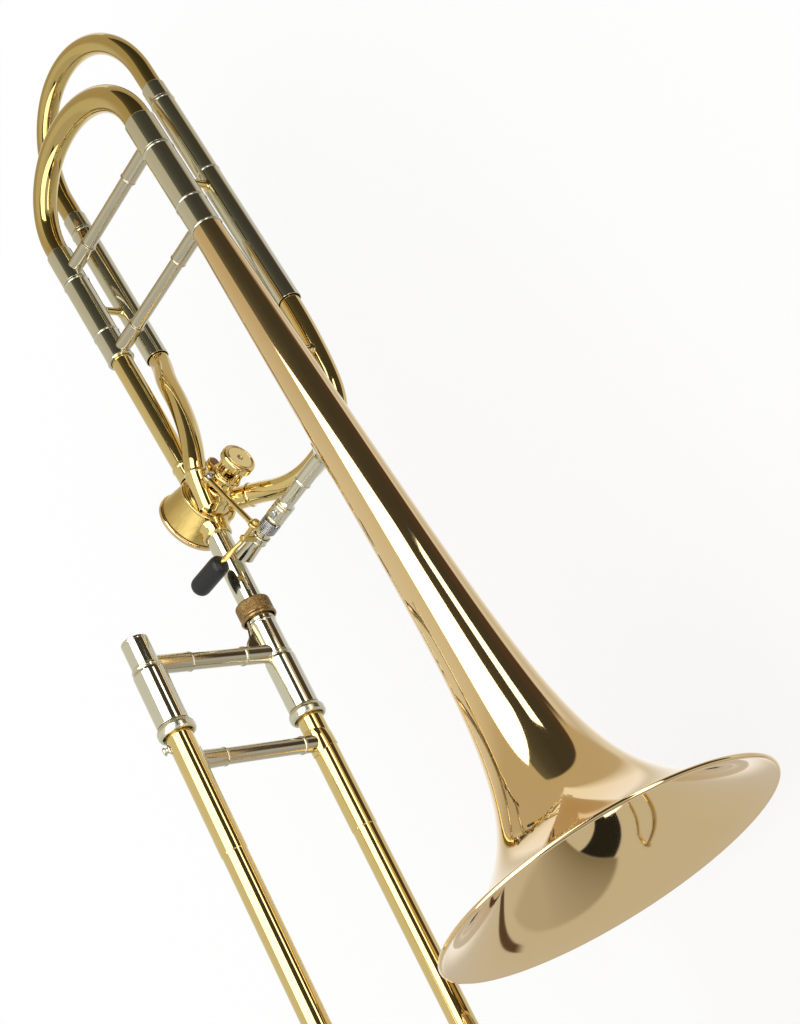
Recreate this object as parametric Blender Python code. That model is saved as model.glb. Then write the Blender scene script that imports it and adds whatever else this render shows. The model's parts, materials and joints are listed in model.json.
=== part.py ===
"""Tenor trombone with an F attachment, built from its real pieces.

The frame is the hand slide's. +Y runs forward along the slide to its bow, +Z goes from the lower slide
tube up to the mouthpiece tube, and the bell lies on the -X side. The origin is the middle of the inner
slide brace. The bell section has a frame of its own: e runs from the neckpipe to the bell, v forward
and n up. Every length is in metres.
"""

import math

import bmesh
import bpy
from mathutils import Matrix, Vector

# Clearance between pieces that touch on the real instrument
GAP = 0.0003

# Slide
SLIDE_SPACING = 0.1005
TUBE_Z = SLIDE_SPACING / 2
INNER_TUBE_RADIUS = 0.0071
INNER_TUBE_BORE = 0.0068
STOCKING_RADIUS = 0.00725
STOCKING_LENGTH = 0.125
INNER_TUBE_END = 0.675
OUTER_TUBE_RADIUS = 0.00795
OUTER_TUBE_BORE = 0.0076
OUTER_SLEEVE_RADIUS = 0.0083
OUTER_SLEEVE_END = 0.129
OUTER_TUBE_START = 0.030
OUTER_TUBE_END = 0.681
BOW_CENTRE = 0.690
BOW_TUBE_RADIUS = 0.0087
BOW_FERRULE_RADIUS = 0.0094
BOW_FERRULE_START = 0.676
BOW_FERRULE_END = 0.690
TUBE_WALL = 0.0006
# A brace's pads start this far from the axis of the tube that they stand on
PAD_ROOT = 0.002
RECEIVER_MOUTH = -0.0176
RECEIVER_RADIUS = 0.00865
BARREL_START = 0.003
BARREL_RADIUS = 0.0102
BARREL_BORE = 0.0087
BARREL_END = 0.042
BARREL_FLARE_RADIUS = 0.012
BARREL_FLARE_END = 0.0495
CORK_START = 0.0123
TENON_RADIUS = 0.0093
TENON_START = -0.035
TENON_BORE = 0.0069
TENON_RING = -0.0216
NUT_START = -0.0384
NUT_END = -0.0253
NUT_RADIUS = 0.01165
NUT_FLUTES = 12
GRIP_BRACE_RADIUS = 0.0050
GRIP_BRACE_RINGS = (0.018, -0.0226)
OUTER_BRACE_Y = 0.0673
OUTER_BRACE_RADIUS = 0.0048
OUTER_BRACE_RINGS = (0.02575, -0.03345)
LOCK_STUD_Y = 0.055
LOCK_STUD_TURN = math.radians(40)

# Water key, on the outer side of the lower leg at the bow
WATER_KEY_PIN_Y = 0.684
WATER_KEY_PIN_DROP = 0.0143
WATER_KEY_HOLE_Y = 0.699
WATER_KEY_TOUCH_Y = 0.657
WATER_KEY_SEAT_DROP = 0.012

# Bell section: its turn about the neckpipe, its spread from the slide and its small lean
BELL_SWING = math.radians(3.30)
BELL_SPREAD = math.radians(3.84)
BELL_LEAN = math.radians(0.40)
BELL_ORIGIN_Y = -0.160
BELL_OFFSET = 0.118
NECKPIPE_RADIUS = 0.00825
NECKPIPE_BORE = 0.0069
NECKPIPE_FLANGE_RADIUS = 0.0093
NECKPIPE_START = -0.104
NECKPIPE_END = -0.0354
COLLAR_END = -0.0905

# Bell: distance behind the rim and outer radius
BELL_RIM_V = 0.4160
BELL_TAIL_V = -0.0818
BELL_WALL = 0.0007
BELL_RIM_WIRE = 0.0017
BELL_STATIONS = (
    (0.0, 0.10795),
    (0.005, 0.0934),
    (0.012, 0.0804),
    (0.022, 0.0674),
    (0.034, 0.0557),
    (0.048, 0.0457),
    (0.064, 0.0379),
    (0.084, 0.0316),
    (0.110, 0.0268),
    (0.150, 0.0229),
    (0.200, 0.0198),
    (0.260, 0.0172),
    (0.330, 0.0151),
    (0.410, 0.0132),
    (0.460, 0.0118),
    (BELL_RIM_V - BELL_TAIL_V, 0.0104),
)

# Main tuning slide, a leg on the neckpipe side and a wider one on the bell side
CROOK_CENTRE_V = -0.187
CROOK_DEPTH = 0.91
FERRULE_START_V = -0.1828
SLEEVE_START_V = -0.1547
SLEEVE_RING_V = -0.1054
SLEEVE_END_V = -0.0821
LEG_END_V = -0.092
NECK_SLEEVE_RADIUS = 0.00906
BELL_SLEEVE_RADIUS = 0.01062
SLEEVE_WALL = 0.0005
NECK_CROOK_RADIUS = 0.0079
BELL_CROOK_RADIUS = 0.0096
MOVING_BRACE_V = -0.1648
FIXED_BRACE_V = -0.0888
TUNING_BRACE_RADIUS = 0.0047
TUNING_BRACE_RINGS = (0.0275, 0.085)

# F tuning slide and tubing, on the side away from the player
F_DROP = -0.032
F_SHIFT = 0.0015
F_CROOK_CENTRE_V = -0.239
F_CROOK_DEPTH = 1.17
F_TUBE_RADIUS = 0.0073
F_SLEEVE_RADIUS = 0.0083
F_SLEEVE_BORE = 0.00775
F_FERRULE_START_V = -0.222
F_SLEEVE_START_V = -0.2077
F_NECK_SLEEVE_END_V = -0.086
F_BELL_SLEEVE_END_V = -0.021
F_LEG_END_V = -0.119
F_RING_V = -0.138
STAY_V = -0.130
LOW_STAY_V = 0.020
STAY_RADIUS = 0.0026

# Rotary valve, whose axis runs along e
VALVE_V = 0.045
CASING_BACK_E = -0.0155
CASING_BACK_RADIUS = 0.0225
CASING_FRONT_E = 0.0054
CASING_FRONT_RADIUS = 0.0187
CASING_BORE = 0.0168
CAP_RADIUS = 0.024
CAP_BACK_E = -0.0205
NOSE_RADIUS = 0.0170
NOSE_TIP_RADIUS = 0.0110
NOSE_END_E = 0.0170
SPINDLE_RADIUS = 0.0040
ROTOR_RADIUS = 0.0163
GOOSENECK_RADIUS = 0.0073
GOOSENECK_RING_V = 0.0117
STOP_ARM_E = 0.0202
STOP_PIN_N = 0.012
STOP_PIN_V = 0.044
EYE_RADIUS = 0.0040
EYE_WIDTH = 0.0030
PIN_RADIUS = 0.0016
BUMPER_POINT = (0.0232, -0.0042, 0.0270)
NECK_RADIUS = 0.0085
KNOB_RADIUS = 0.0116
KNOB_START_E = 0.0370
KNOB_END_E = 0.0449

# Thumb trigger, which turns about the bell brace
BRACE_V = 0.095
BRACE_RADIUS = 0.0048
HUB_START_E = 0.0223
HUB_END_E = 0.0282
HUB_RADIUS = 0.0066
SPRING_START_E = 0.0292
SPRING_END_E = 0.0418
SPRING_TURNS = 7
SPRING_RADIUS = 0.0063
SPRING_WIRE = 0.0005
COLLAR_START_E = 0.043
COLLAR_END_E = 0.058
COLLAR_RADIUS = 0.0063
LEVER_PIN = (0.0378, 0.0140, 0.0957)
LEVER_RADIUS = 0.0021
THUMB_START = (0.0068, 0.0220, 0.0991)
THUMB_END = (-0.0250, 0.0220, 0.0972)
THUMB_RADIUS = 0.00675

# Finishes: base colour, roughness and metallic
LACQUERED_BRASS = ((0.83, 0.60, 0.22), 0.16, 1.0)
GOLD_BRASS = ((0.80, 0.50, 0.27), 0.16, 1.0)
NICKEL_SILVER = ((0.72, 0.68, 0.58), 0.18, 1.0)
CHROMED_STEEL = ((0.78, 0.78, 0.77), 0.12, 1.0)
STEEL = ((0.55, 0.55, 0.56), 0.30, 1.0)
BRONZE = ((0.45, 0.27, 0.11), 0.42, 1.0)
BLACK_RUBBER = ((0.012, 0.012, 0.013), 0.50, 0.0)
CORK = ((0.38, 0.20, 0.09), 0.85, 0.0)


def clear_scene():
    for thing in list(bpy.data.objects):
        bpy.data.objects.remove(thing)


def bell_point(e, n, v):
    """A place in the bell section's frame, whose X is -e, Y is v and Z is n."""
    return Vector((-e, v, n))


def finish(thing, look):
    colour, roughness, metallic = look
    material = bpy.data.materials.new(thing.name)
    material.use_nodes = True
    shader = material.node_tree.nodes["Principled BSDF"]
    shader.inputs["Base Color"].default_value = (*colour, 1.0)
    shader.inputs["Roughness"].default_value = roughness
    shader.inputs["Metallic"].default_value = metallic
    material.diffuse_color = (*colour, 1.0)
    thing.data.materials.append(material)


def link(name, data, body):
    """Adds an object whose location is measured in the frame that its body's empty stands in."""
    thing = bpy.data.objects.new(name, data)
    bpy.context.scene.collection.objects.link(thing)
    if body:
        thing.parent = body
        thing.matrix_parent_inverse = Matrix.Translation(-body.location) if body.parent else Matrix()
    return thing


def empty(name, location=(0.0, 0.0, 0.0), parent=None):
    thing = bpy.data.objects.new(name, None)
    bpy.context.scene.collection.objects.link(thing)
    thing.empty_display_size = 0.02
    thing.parent = parent
    thing.location = location
    return thing


def aim(thing, origin, along):
    """Stands an object's own Z axis at origin, pointing along a direction."""
    thing.rotation_mode = "QUATERNION"
    thing.rotation_quaternion = Vector(along).to_track_quat("Z", "Y")
    thing.location = origin


def helper(thing):
    thing.hide_render = True
    thing.display_type = "WIRE"
    return thing


def smooth(mesh):
    mesh.shade_smooth()
    mesh.set_sharp_from_angle(angle=math.radians(35))


def spun_mesh(name, outline, sides, flutes=None):
    """A turned piece: an outline of (distance along the axis, radius) spun about Z.

    An outline whose first and last points lie on the axis gives a solid, and any other is closed into
    a ring. Flutes are (start, end, depth): every second point of the outer edge there is pressed in.
    """
    mesh_data = bmesh.new()
    points = [mesh_data.verts.new((radius, 0.0, along)) for along, radius in outline]
    pairs = list(zip(points, points[1:]))
    if outline[0][1] > 0 or outline[-1][1] > 0:
        pairs.append((points[-1], points[0]))
    edges = [mesh_data.edges.new(pair) for pair in pairs]
    bmesh.ops.spin(
        mesh_data,
        geom=points + edges,
        cent=(0, 0, 0),
        axis=(0, 0, 1),
        dvec=(0, 0, 0),
        angle=math.tau,
        steps=sides,
        use_merge=True,
    )
    bmesh.ops.remove_doubles(mesh_data, verts=mesh_data.verts, dist=1e-7)
    if flutes:
        start, end, depth = flutes
        outer = max(radius for _, radius in outline) - depth
        for point in mesh_data.verts:
            reach = math.hypot(point.co.x, point.co.y)
            turn = round(math.atan2(point.co.y, point.co.x) / math.tau * sides)
            if start <= point.co.z <= end and reach > outer and turn % 2:
                point.co.x *= 1 - depth / reach
                point.co.y *= 1 - depth / reach
    bmesh.ops.recalc_face_normals(mesh_data, faces=mesh_data.faces)
    mesh = bpy.data.meshes.new(name)
    mesh_data.to_mesh(mesh)
    mesh_data.free()
    smooth(mesh)
    return mesh


def turned(name, outline, look, body, origin, along, sides=16, flutes=None):
    thing = link(name, spun_mesh(name, outline, sides, flutes), body)
    aim(thing, origin, along)
    finish(thing, look)
    return thing


def turned_helper(name, outline, body, origin, along, sides=24):
    thing = link(name, spun_mesh(name, outline, sides), body)
    aim(thing, origin, along)
    return helper(thing)


def rod_outline(start, end, radius):
    return [(start, 0.0), (start, radius), (end, radius), (end, 0.0)]


def beaded_edge(start, end, radius, rings=(), width=0.0024, height=0.0006):
    """The outer edge of a tube or rod that carries rounded rings."""
    edge = [(start, radius)]
    for centre in sorted(rings):
        edge.append((centre - width / 2, radius))
        edge.append((centre - width / 4, radius + height))
        edge.append((centre + width / 4, radius + height))
        edge.append((centre + width / 2, radius))
    edge.append((end, radius))
    return edge


def pipe_outline(start, end, radius, bore, rings=()):
    return beaded_edge(start, end, radius, rings) + [(end, bore), (start, bore)]


def eased_route(stations, steps=4):
    """Points on a smooth curve through the stations of a tube's route."""
    stations = [Vector(place) for place in stations]
    first = 2 * stations[0] - stations[1]
    last = 2 * stations[-1] - stations[-2]
    padded = [first, *stations, last]
    route = []
    for index in range(1, len(padded) - 2):
        before, here, there, after = padded[index - 1 : index + 3]
        for step in range(steps):
            t = step / steps
            route.append(
                0.5
                * (
                    2 * here
                    + (there - before) * t
                    + (2 * before - 5 * here + 4 * there - after) * t**2
                    + (3 * here - before - 3 * there + after) * t**3
                )
            )
    return [*route, stations[-1]]


def loop_faces(mesh_data, loops):
    """Joins each ring of points to the next with quads."""
    for loop, following in zip(loops, loops[1:]):
        for index in range(len(loop)):
            after = (index + 1) % len(loop)
            mesh_data.faces.new((loop[index], loop[after], following[after], following[index]))


def swept_mesh(name, route, radius, sides=12, wall=None, end_radius=None):
    """A bar along a route or, with a wall, a tube that is open at both ends."""
    route = [Vector(place) for place in route]
    mesh_data = bmesh.new()
    outer = []
    inner = []
    side = (route[1] - route[0]).orthogonal()
    for index, place in enumerate(route):
        before = route[max(index - 1, 0)]
        after = route[min(index + 1, len(route) - 1)]
        ahead = ((after - place).normalized() + (place - before).normalized()).normalized()
        side = (side - side.dot(ahead) * ahead).normalized()
        up = ahead.cross(side)
        share = index / (len(route) - 1)
        here = radius + share * ((end_radius or radius) - radius)
        for rings, reach in ((outer, here), (inner, here - (wall or 0))):
            ring = []
            for step in range(sides):
                turn = math.tau * step / sides
                ring.append(place + reach * (math.cos(turn) * side + math.sin(turn) * up))
            rings.append(ring)
    rings = outer + inner[::-1] + outer[:1] if wall else outer
    loops = [[mesh_data.verts.new(point) for point in ring] for ring in rings]
    loop_faces(mesh_data, loops)
    if wall:
        bmesh.ops.remove_doubles(mesh_data, verts=mesh_data.verts, dist=1e-7)
    else:
        mesh_data.faces.new(loops[0])
        mesh_data.faces.new(loops[-1][::-1])
    bmesh.ops.recalc_face_normals(mesh_data, faces=mesh_data.faces)
    mesh = bpy.data.meshes.new(name)
    mesh_data.to_mesh(mesh)
    mesh_data.free()
    smooth(mesh)
    return mesh


def swept(name, route, radius, look, body, sides=12, wall=None, end_radius=None):
    thing = link(name, swept_mesh(name, route, radius, sides, wall, end_radius), body)
    finish(thing, look)
    return thing


def combine(thing, other, operation="DIFFERENCE"):
    step = thing.modifiers.new(operation.lower(), "BOOLEAN")
    step.operation = operation
    step.solver = "EXACT"
    step.object = other
    return thing


def box(name, size, body, location):
    mesh_data = bmesh.new()
    bmesh.ops.create_cube(mesh_data, size=1.0)
    bmesh.ops.scale(mesh_data, vec=size, verts=mesh_data.verts)
    mesh = bpy.data.meshes.new(name)
    mesh_data.to_mesh(mesh)
    mesh_data.free()
    thing = link(name, mesh, body)
    thing.location = location
    return thing


def box_helper(name, size, body, location):
    return helper(box(name, size, body, location))


def brace(name, look, body, origin, along, ends, radius, rings, feet, sides=12):
    """A round brace between two tubes.

    Each foot is (distance along the brace of the tube's axis, pad radius, pad height, wrap, core). The
    pad is a disc cut to the wrap, which stands a little above the tube, and the core is the tube's own
    solid, grown by the gap, which is cut from the foot.
    """
    outline = beaded_edge(ends[0], ends[1], radius, rings, height=0.0008)
    outline = [(ends[0], 0.0), *outline, (ends[1], 0.0)]
    thing = turned(name, outline, look, body, origin, along, sides)
    for index, (place, pad_radius, pad_height, wrap, core) in enumerate(feet):
        side = 1 if place < (ends[0] + ends[1]) / 2 else -1
        reach = sorted((place + side * PAD_ROOT, place + side * pad_height))
        disc = turned_helper(
            f"{name}_disc_{index}",
            rod_outline(*reach, pad_radius),
            body,
            origin,
            along,
            sides,
        )
        combine(disc, wrap, "INTERSECT")
        combine(thing, disc, "UNION")
        combine(thing, core)
    return thing


def bell_radius(distance):
    """Outer radius of the bell at a distance behind its rim, from its stations."""
    for (near, near_radius), (far, far_radius) in zip(BELL_STATIONS, BELL_STATIONS[1:]):
        if distance <= far:
            share = (distance - near) / (far - near)
            return near_radius * (far_radius / near_radius) ** share
    return BELL_STATIONS[-1][1]


def least_gap(route, wire, points_per_turn):
    """Least clear distance between turns of a coil, measured on its points."""
    least = math.inf
    for index, here in enumerate(route):
        for there in route[index + points_per_turn - 2 :]:
            least = min(least, (here - there).length)
    return least - 2 * wire


def coil_route(start, end, turns, radius, lead, points_per_turn=9):
    """A helix along Z whose two ends run straight, square to the radius."""
    count = turns * points_per_turn
    route = []
    for index in range(count + 1):
        turn = math.tau * index / points_per_turn
        height = start + (end - start) * index / count
        route.append(Vector((radius * math.cos(turn), radius * math.sin(turn), height)))
    before = route[0] - Vector((0, lead, 0))
    after = route[-1] + Vector((0, lead, 0))
    return [before, *route, after]


def coil(name, route, wire, body, origin, along):
    """One unbroken round wire, as a closed mesh with a six-sided section."""
    thing = swept(name, route, wire, STEEL, body, sides=6)
    aim(thing, origin, along)
    print(f"{name}: least gap between turns {1000 * least_gap(route[1:-1], wire, 9):.2f} mm")
    return thing


def inner_slide():
    forward = (0, 1, 0)
    upper = (0, 0, TUBE_Z)
    lower = (0, 0, -TUBE_Z)
    receiver = [
        (RECEIVER_MOUTH, 0.0064),
        (RECEIVER_MOUTH, RECEIVER_RADIUS - 0.0006),
        (RECEIVER_MOUTH + 0.0006, RECEIVER_RADIUS),
        (BARREL_START - GAP, RECEIVER_RADIUS),
        (BARREL_START - GAP, 0.0058),
    ]
    turned("mouthpiece_receiver", receiver, NICKEL_SILVER, None, upper, forward, 14)
    shoulder = [
        (BARREL_START, 0.00745),
        (BARREL_START, RECEIVER_RADIUS + 0.0006),
        (BARREL_START + 0.0014, RECEIVER_RADIUS + 0.0009),
        (BARREL_START + 0.0024, BARREL_RADIUS),
    ]
    cup = [(CORK_START - GAP, BARREL_BORE), (CORK_START - GAP, 0.00745)]
    upper_barrel = [*shoulder, (BARREL_END - GAP, BARREL_RADIUS), (BARREL_END - GAP, BARREL_BORE), *cup]
    turned("upper_cork_barrel", upper_barrel, NICKEL_SILVER, None, upper, forward, 14)
    flare = [
        (BARREL_END, BARREL_RADIUS),
        (BARREL_END + 0.0012, BARREL_FLARE_RADIUS - 0.0003),
        (BARREL_END + 0.0020, BARREL_FLARE_RADIUS),
        (BARREL_FLARE_END - 0.0005, BARREL_FLARE_RADIUS),
        (BARREL_FLARE_END, BARREL_FLARE_RADIUS - 0.0004),
        (BARREL_FLARE_END, BARREL_BORE + 0.0002),
    ]
    turned("lower_cork_barrel", [*shoulder, *flare, *cup], NICKEL_SILVER, None, lower, forward, 14)
    turned(
        "slide_lock_ring",
        [*flare, (BARREL_END, BARREL_BORE + 0.0002)],
        NICKEL_SILVER,
        None,
        upper,
        forward,
        14,
    )
    tenon = pipe_outline(TENON_START, BARREL_START - GAP, TENON_RADIUS, TENON_BORE, (TENON_RING,))
    turned("slide_tenon", tenon, NICKEL_SILVER, None, lower, forward, 14)
    inner_tube = [
        (BARREL_START, INNER_TUBE_RADIUS),
        (INNER_TUBE_END - STOCKING_LENGTH, INNER_TUBE_RADIUS),
        (INNER_TUBE_END - STOCKING_LENGTH + 0.002, STOCKING_RADIUS),
        (INNER_TUBE_END - 0.001, STOCKING_RADIUS),
        (INNER_TUBE_END, STOCKING_RADIUS - 0.0002),
        (INNER_TUBE_END, INNER_TUBE_BORE),
        (BARREL_START, INNER_TUBE_BORE),
    ]
    bumper = pipe_outline(CORK_START, OUTER_TUBE_START - 0.0005, 0.00835, 0.00745)
    for place, spot in (("upper", upper), ("lower", lower)):
        turned(f"inner_tube_{place}", inner_tube, CHROMED_STEEL, None, spot, forward)
        turned(f"slide_cork_{place}", bumper, CORK, None, spot, forward, 12)
    grip_brace(upper, lower)
    hook = eased_route(
        [
            (0, -0.0235, -TUBE_Z + 0.0118),
            (0, -0.0170, -TUBE_Z + 0.0121),
            (0, -0.0118, -TUBE_Z + 0.0135),
            (0, -0.0072, -TUBE_Z + 0.0166),
        ],
        3,
    )
    swept("tenon_gusset", hook, 0.0018, LACQUERED_BRASS, None, 8)


def grip_brace(upper, lower):
    """The brace that the fingers hold, between the receiver and the tenon."""
    forward = (0, 1, 0)
    feet = []
    pads = (("upper", upper, TUBE_Z, RECEIVER_RADIUS), ("lower", lower, -TUBE_Z, TENON_RADIUS))
    for place, spot, height, radius in pads:
        wrap = turned_helper(
            f"grip_wrap_{place}",
            rod_outline(-0.012, BARREL_START - GAP, radius + GAP + 0.0012),
            None,
            spot,
            forward,
        )
        core = [
            (-0.02, 0.0),
            (-0.02, radius + GAP),
            (BARREL_START - 2 * GAP, radius + GAP),
            (BARREL_START - 2 * GAP, BARREL_RADIUS + GAP),
            (0.02, BARREL_RADIUS + GAP),
            (0.02, 0.0),
        ]
        tube = turned_helper(f"grip_core_{place}", core, None, spot, forward)
        feet.append((height, 0.0072, radius + 0.004, wrap, tube))
    brace(
        "inner_slide_brace",
        NICKEL_SILVER,
        None,
        (0, 0, 0),
        (0, 0, 1),
        (-TUBE_Z + 0.005, TUBE_Z - 0.005),
        GRIP_BRACE_RADIUS,
        GRIP_BRACE_RINGS,
        feet,
    )


def lock_nut():
    """The knurled nut that joins the bell section to the slide."""
    outline = [
        (NUT_START, NECKPIPE_RADIUS + 0.0005),
        (NUT_START, NUT_RADIUS - 0.0018),
        (NUT_START + 0.0009, NUT_RADIUS - 0.0002),
        (NUT_START + 0.0018, NUT_RADIUS),
        (NUT_END - 0.0032, NUT_RADIUS),
        (NUT_END - 0.0027, NUT_RADIUS - 0.0008),
        (NUT_END - 0.0021, NUT_RADIUS - 0.0003),
        (NUT_END - 0.0008, NUT_RADIUS - 0.0002),
        (NUT_END, NUT_RADIUS - 0.0008),
        (NUT_END, TENON_RADIUS + 0.0005),
        (NUT_START + 0.0009, TENON_RADIUS + 0.0005),
        (NUT_START + 0.0009, NECKPIPE_RADIUS + 0.0005),
    ]
    knurl = (NUT_START + 0.0012, NUT_END - 0.0030, 0.0004)
    spot = (0, 0, -TUBE_Z)
    turned("bell_lock_nut", outline, BRONZE, None, spot, (0, 1, 0), 2 * NUT_FLUTES, knurl)


def hand_slide(body):
    forward = (0, 1, 0)
    spots = {"upper": (0, 0, TUBE_Z), "lower": (0, 0, -TUBE_Z)}
    outer_tube = [
        (OUTER_TUBE_START, OUTER_TUBE_BORE),
        (OUTER_TUBE_START, OUTER_SLEEVE_RADIUS),
        (OUTER_SLEEVE_END, OUTER_SLEEVE_RADIUS),
        (OUTER_SLEEVE_END + 0.001, OUTER_TUBE_RADIUS),
        (OUTER_TUBE_END, OUTER_TUBE_RADIUS),
        (OUTER_TUBE_END, OUTER_TUBE_BORE),
    ]
    ferrule = [
        (BOW_FERRULE_START, OUTER_TUBE_RADIUS + GAP),
        (BOW_FERRULE_START, BOW_FERRULE_RADIUS - 0.0006),
        (BOW_FERRULE_START + 0.001, BOW_FERRULE_RADIUS),
        (BOW_FERRULE_END - 0.001, BOW_FERRULE_RADIUS),
        (BOW_FERRULE_END, BOW_FERRULE_RADIUS - 0.0003),
        (BOW_FERRULE_END, BOW_TUBE_RADIUS + GAP),
        (OUTER_TUBE_END, BOW_TUBE_RADIUS + GAP),
        (OUTER_TUBE_END, OUTER_TUBE_RADIUS + GAP),
    ]
    for place, spot in spots.items():
        turned(f"outer_tube_{place}", outer_tube, LACQUERED_BRASS, body, spot, forward, 14)
        turned(f"bow_ferrule_{place}", ferrule, NICKEL_SILVER, body, spot, forward, 14)
    route = [Vector((0, OUTER_TUBE_END + 2 * GAP, -TUBE_Z))]
    steps = 12
    for step in range(steps + 1):
        turn = math.pi * step / steps
        route.append(Vector((0, BOW_CENTRE + TUBE_Z * math.sin(turn), -TUBE_Z * math.cos(turn))))
    route.append(Vector((0, OUTER_TUBE_END + 2 * GAP, TUBE_Z)))
    swept("slide_bow", route, BOW_TUBE_RADIUS, LACQUERED_BRASS, body, 12, TUBE_WALL)
    outer_brace(body, spots)
    stud_out = Vector((math.sin(LOCK_STUD_TURN), 0, math.cos(LOCK_STUD_TURN)))
    stud = [
        (OUTER_SLEEVE_RADIUS + GAP, 0.0),
        (OUTER_SLEEVE_RADIUS + GAP, 0.0024),
        (OUTER_SLEEVE_RADIUS + 0.0012, 0.0013),
        (OUTER_SLEEVE_RADIUS + 0.0018, 0.0019),
        (OUTER_SLEEVE_RADIUS + 0.0032, 0.0016),
        (OUTER_SLEEVE_RADIUS + 0.0036, 0.0),
    ]
    turned("slide_lock_stud", stud, NICKEL_SILVER, body, (0, LOCK_STUD_Y, TUBE_Z), stud_out, 10)
    bow_core = torus_helper("bow_core", body)
    crown = BOW_CENTRE + TUBE_Z + BOW_TUBE_RADIUS
    tip = [
        (crown - 0.004, 0.0),
        (crown - 0.004, 0.0052),
        (crown + 0.0030, 0.0046),
        (crown + 0.0062, 0.0042),
        (crown + 0.0072, 0.0030),
        (crown + 0.0074, 0.0),
    ]
    combine(turned("bow_bumper", tip, BLACK_RUBBER, body, (0, 0, 0), forward, 12), bow_core)
    return bow_core


def outer_brace(body, spots):
    forward = (0, 1, 0)
    feet = []
    for place, height, pad in (("upper", TUBE_Z, 0.0066), ("lower", -TUBE_Z, 0.0060)):
        reach = OUTER_SLEEVE_RADIUS + GAP
        if place == "lower":
            reach += 0.0012
        start = OUTER_BRACE_Y - 0.012
        end = OUTER_BRACE_Y + 0.012
        wrap = turned_helper(
            f"outer_wrap_{place}", rod_outline(start, end, reach + 0.0009), body, spots[place], forward
        )
        core = turned_helper(
            f"outer_core_{place}", rod_outline(start - 0.01, end + 0.01, reach), body, spots[place], forward
        )
        feet.append((height, pad, reach + 0.003, wrap, core))
    brace(
        "outer_slide_brace",
        NICKEL_SILVER,
        body,
        (0, OUTER_BRACE_Y, 0),
        (0, 0, 1),
        (-TUBE_Z + 0.005, TUBE_Z - 0.005),
        OUTER_BRACE_RADIUS,
        OUTER_BRACE_RINGS,
        feet,
    )
    saddle = pipe_outline(
        OUTER_BRACE_Y - 0.0078,
        OUTER_BRACE_Y + 0.0078,
        OUTER_SLEEVE_RADIUS + 0.0012,
        OUTER_SLEEVE_RADIUS + GAP,
    )
    turned("outer_brace_saddle", saddle, LACQUERED_BRASS, body, spots["lower"], forward, 14)


def torus_helper(name, body):
    """The bow's outer surface, grown by the gap."""
    bpy.ops.mesh.primitive_torus_add(
        major_segments=48,
        minor_segments=20,
        major_radius=TUBE_Z,
        minor_radius=BOW_TUBE_RADIUS + GAP,
        rotation=(0, math.radians(90), 0),
    )
    thing = bpy.context.object
    thing.name = name
    thing.parent = body
    thing.location = (0, BOW_CENTRE, 0)
    return helper(thing)


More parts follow.
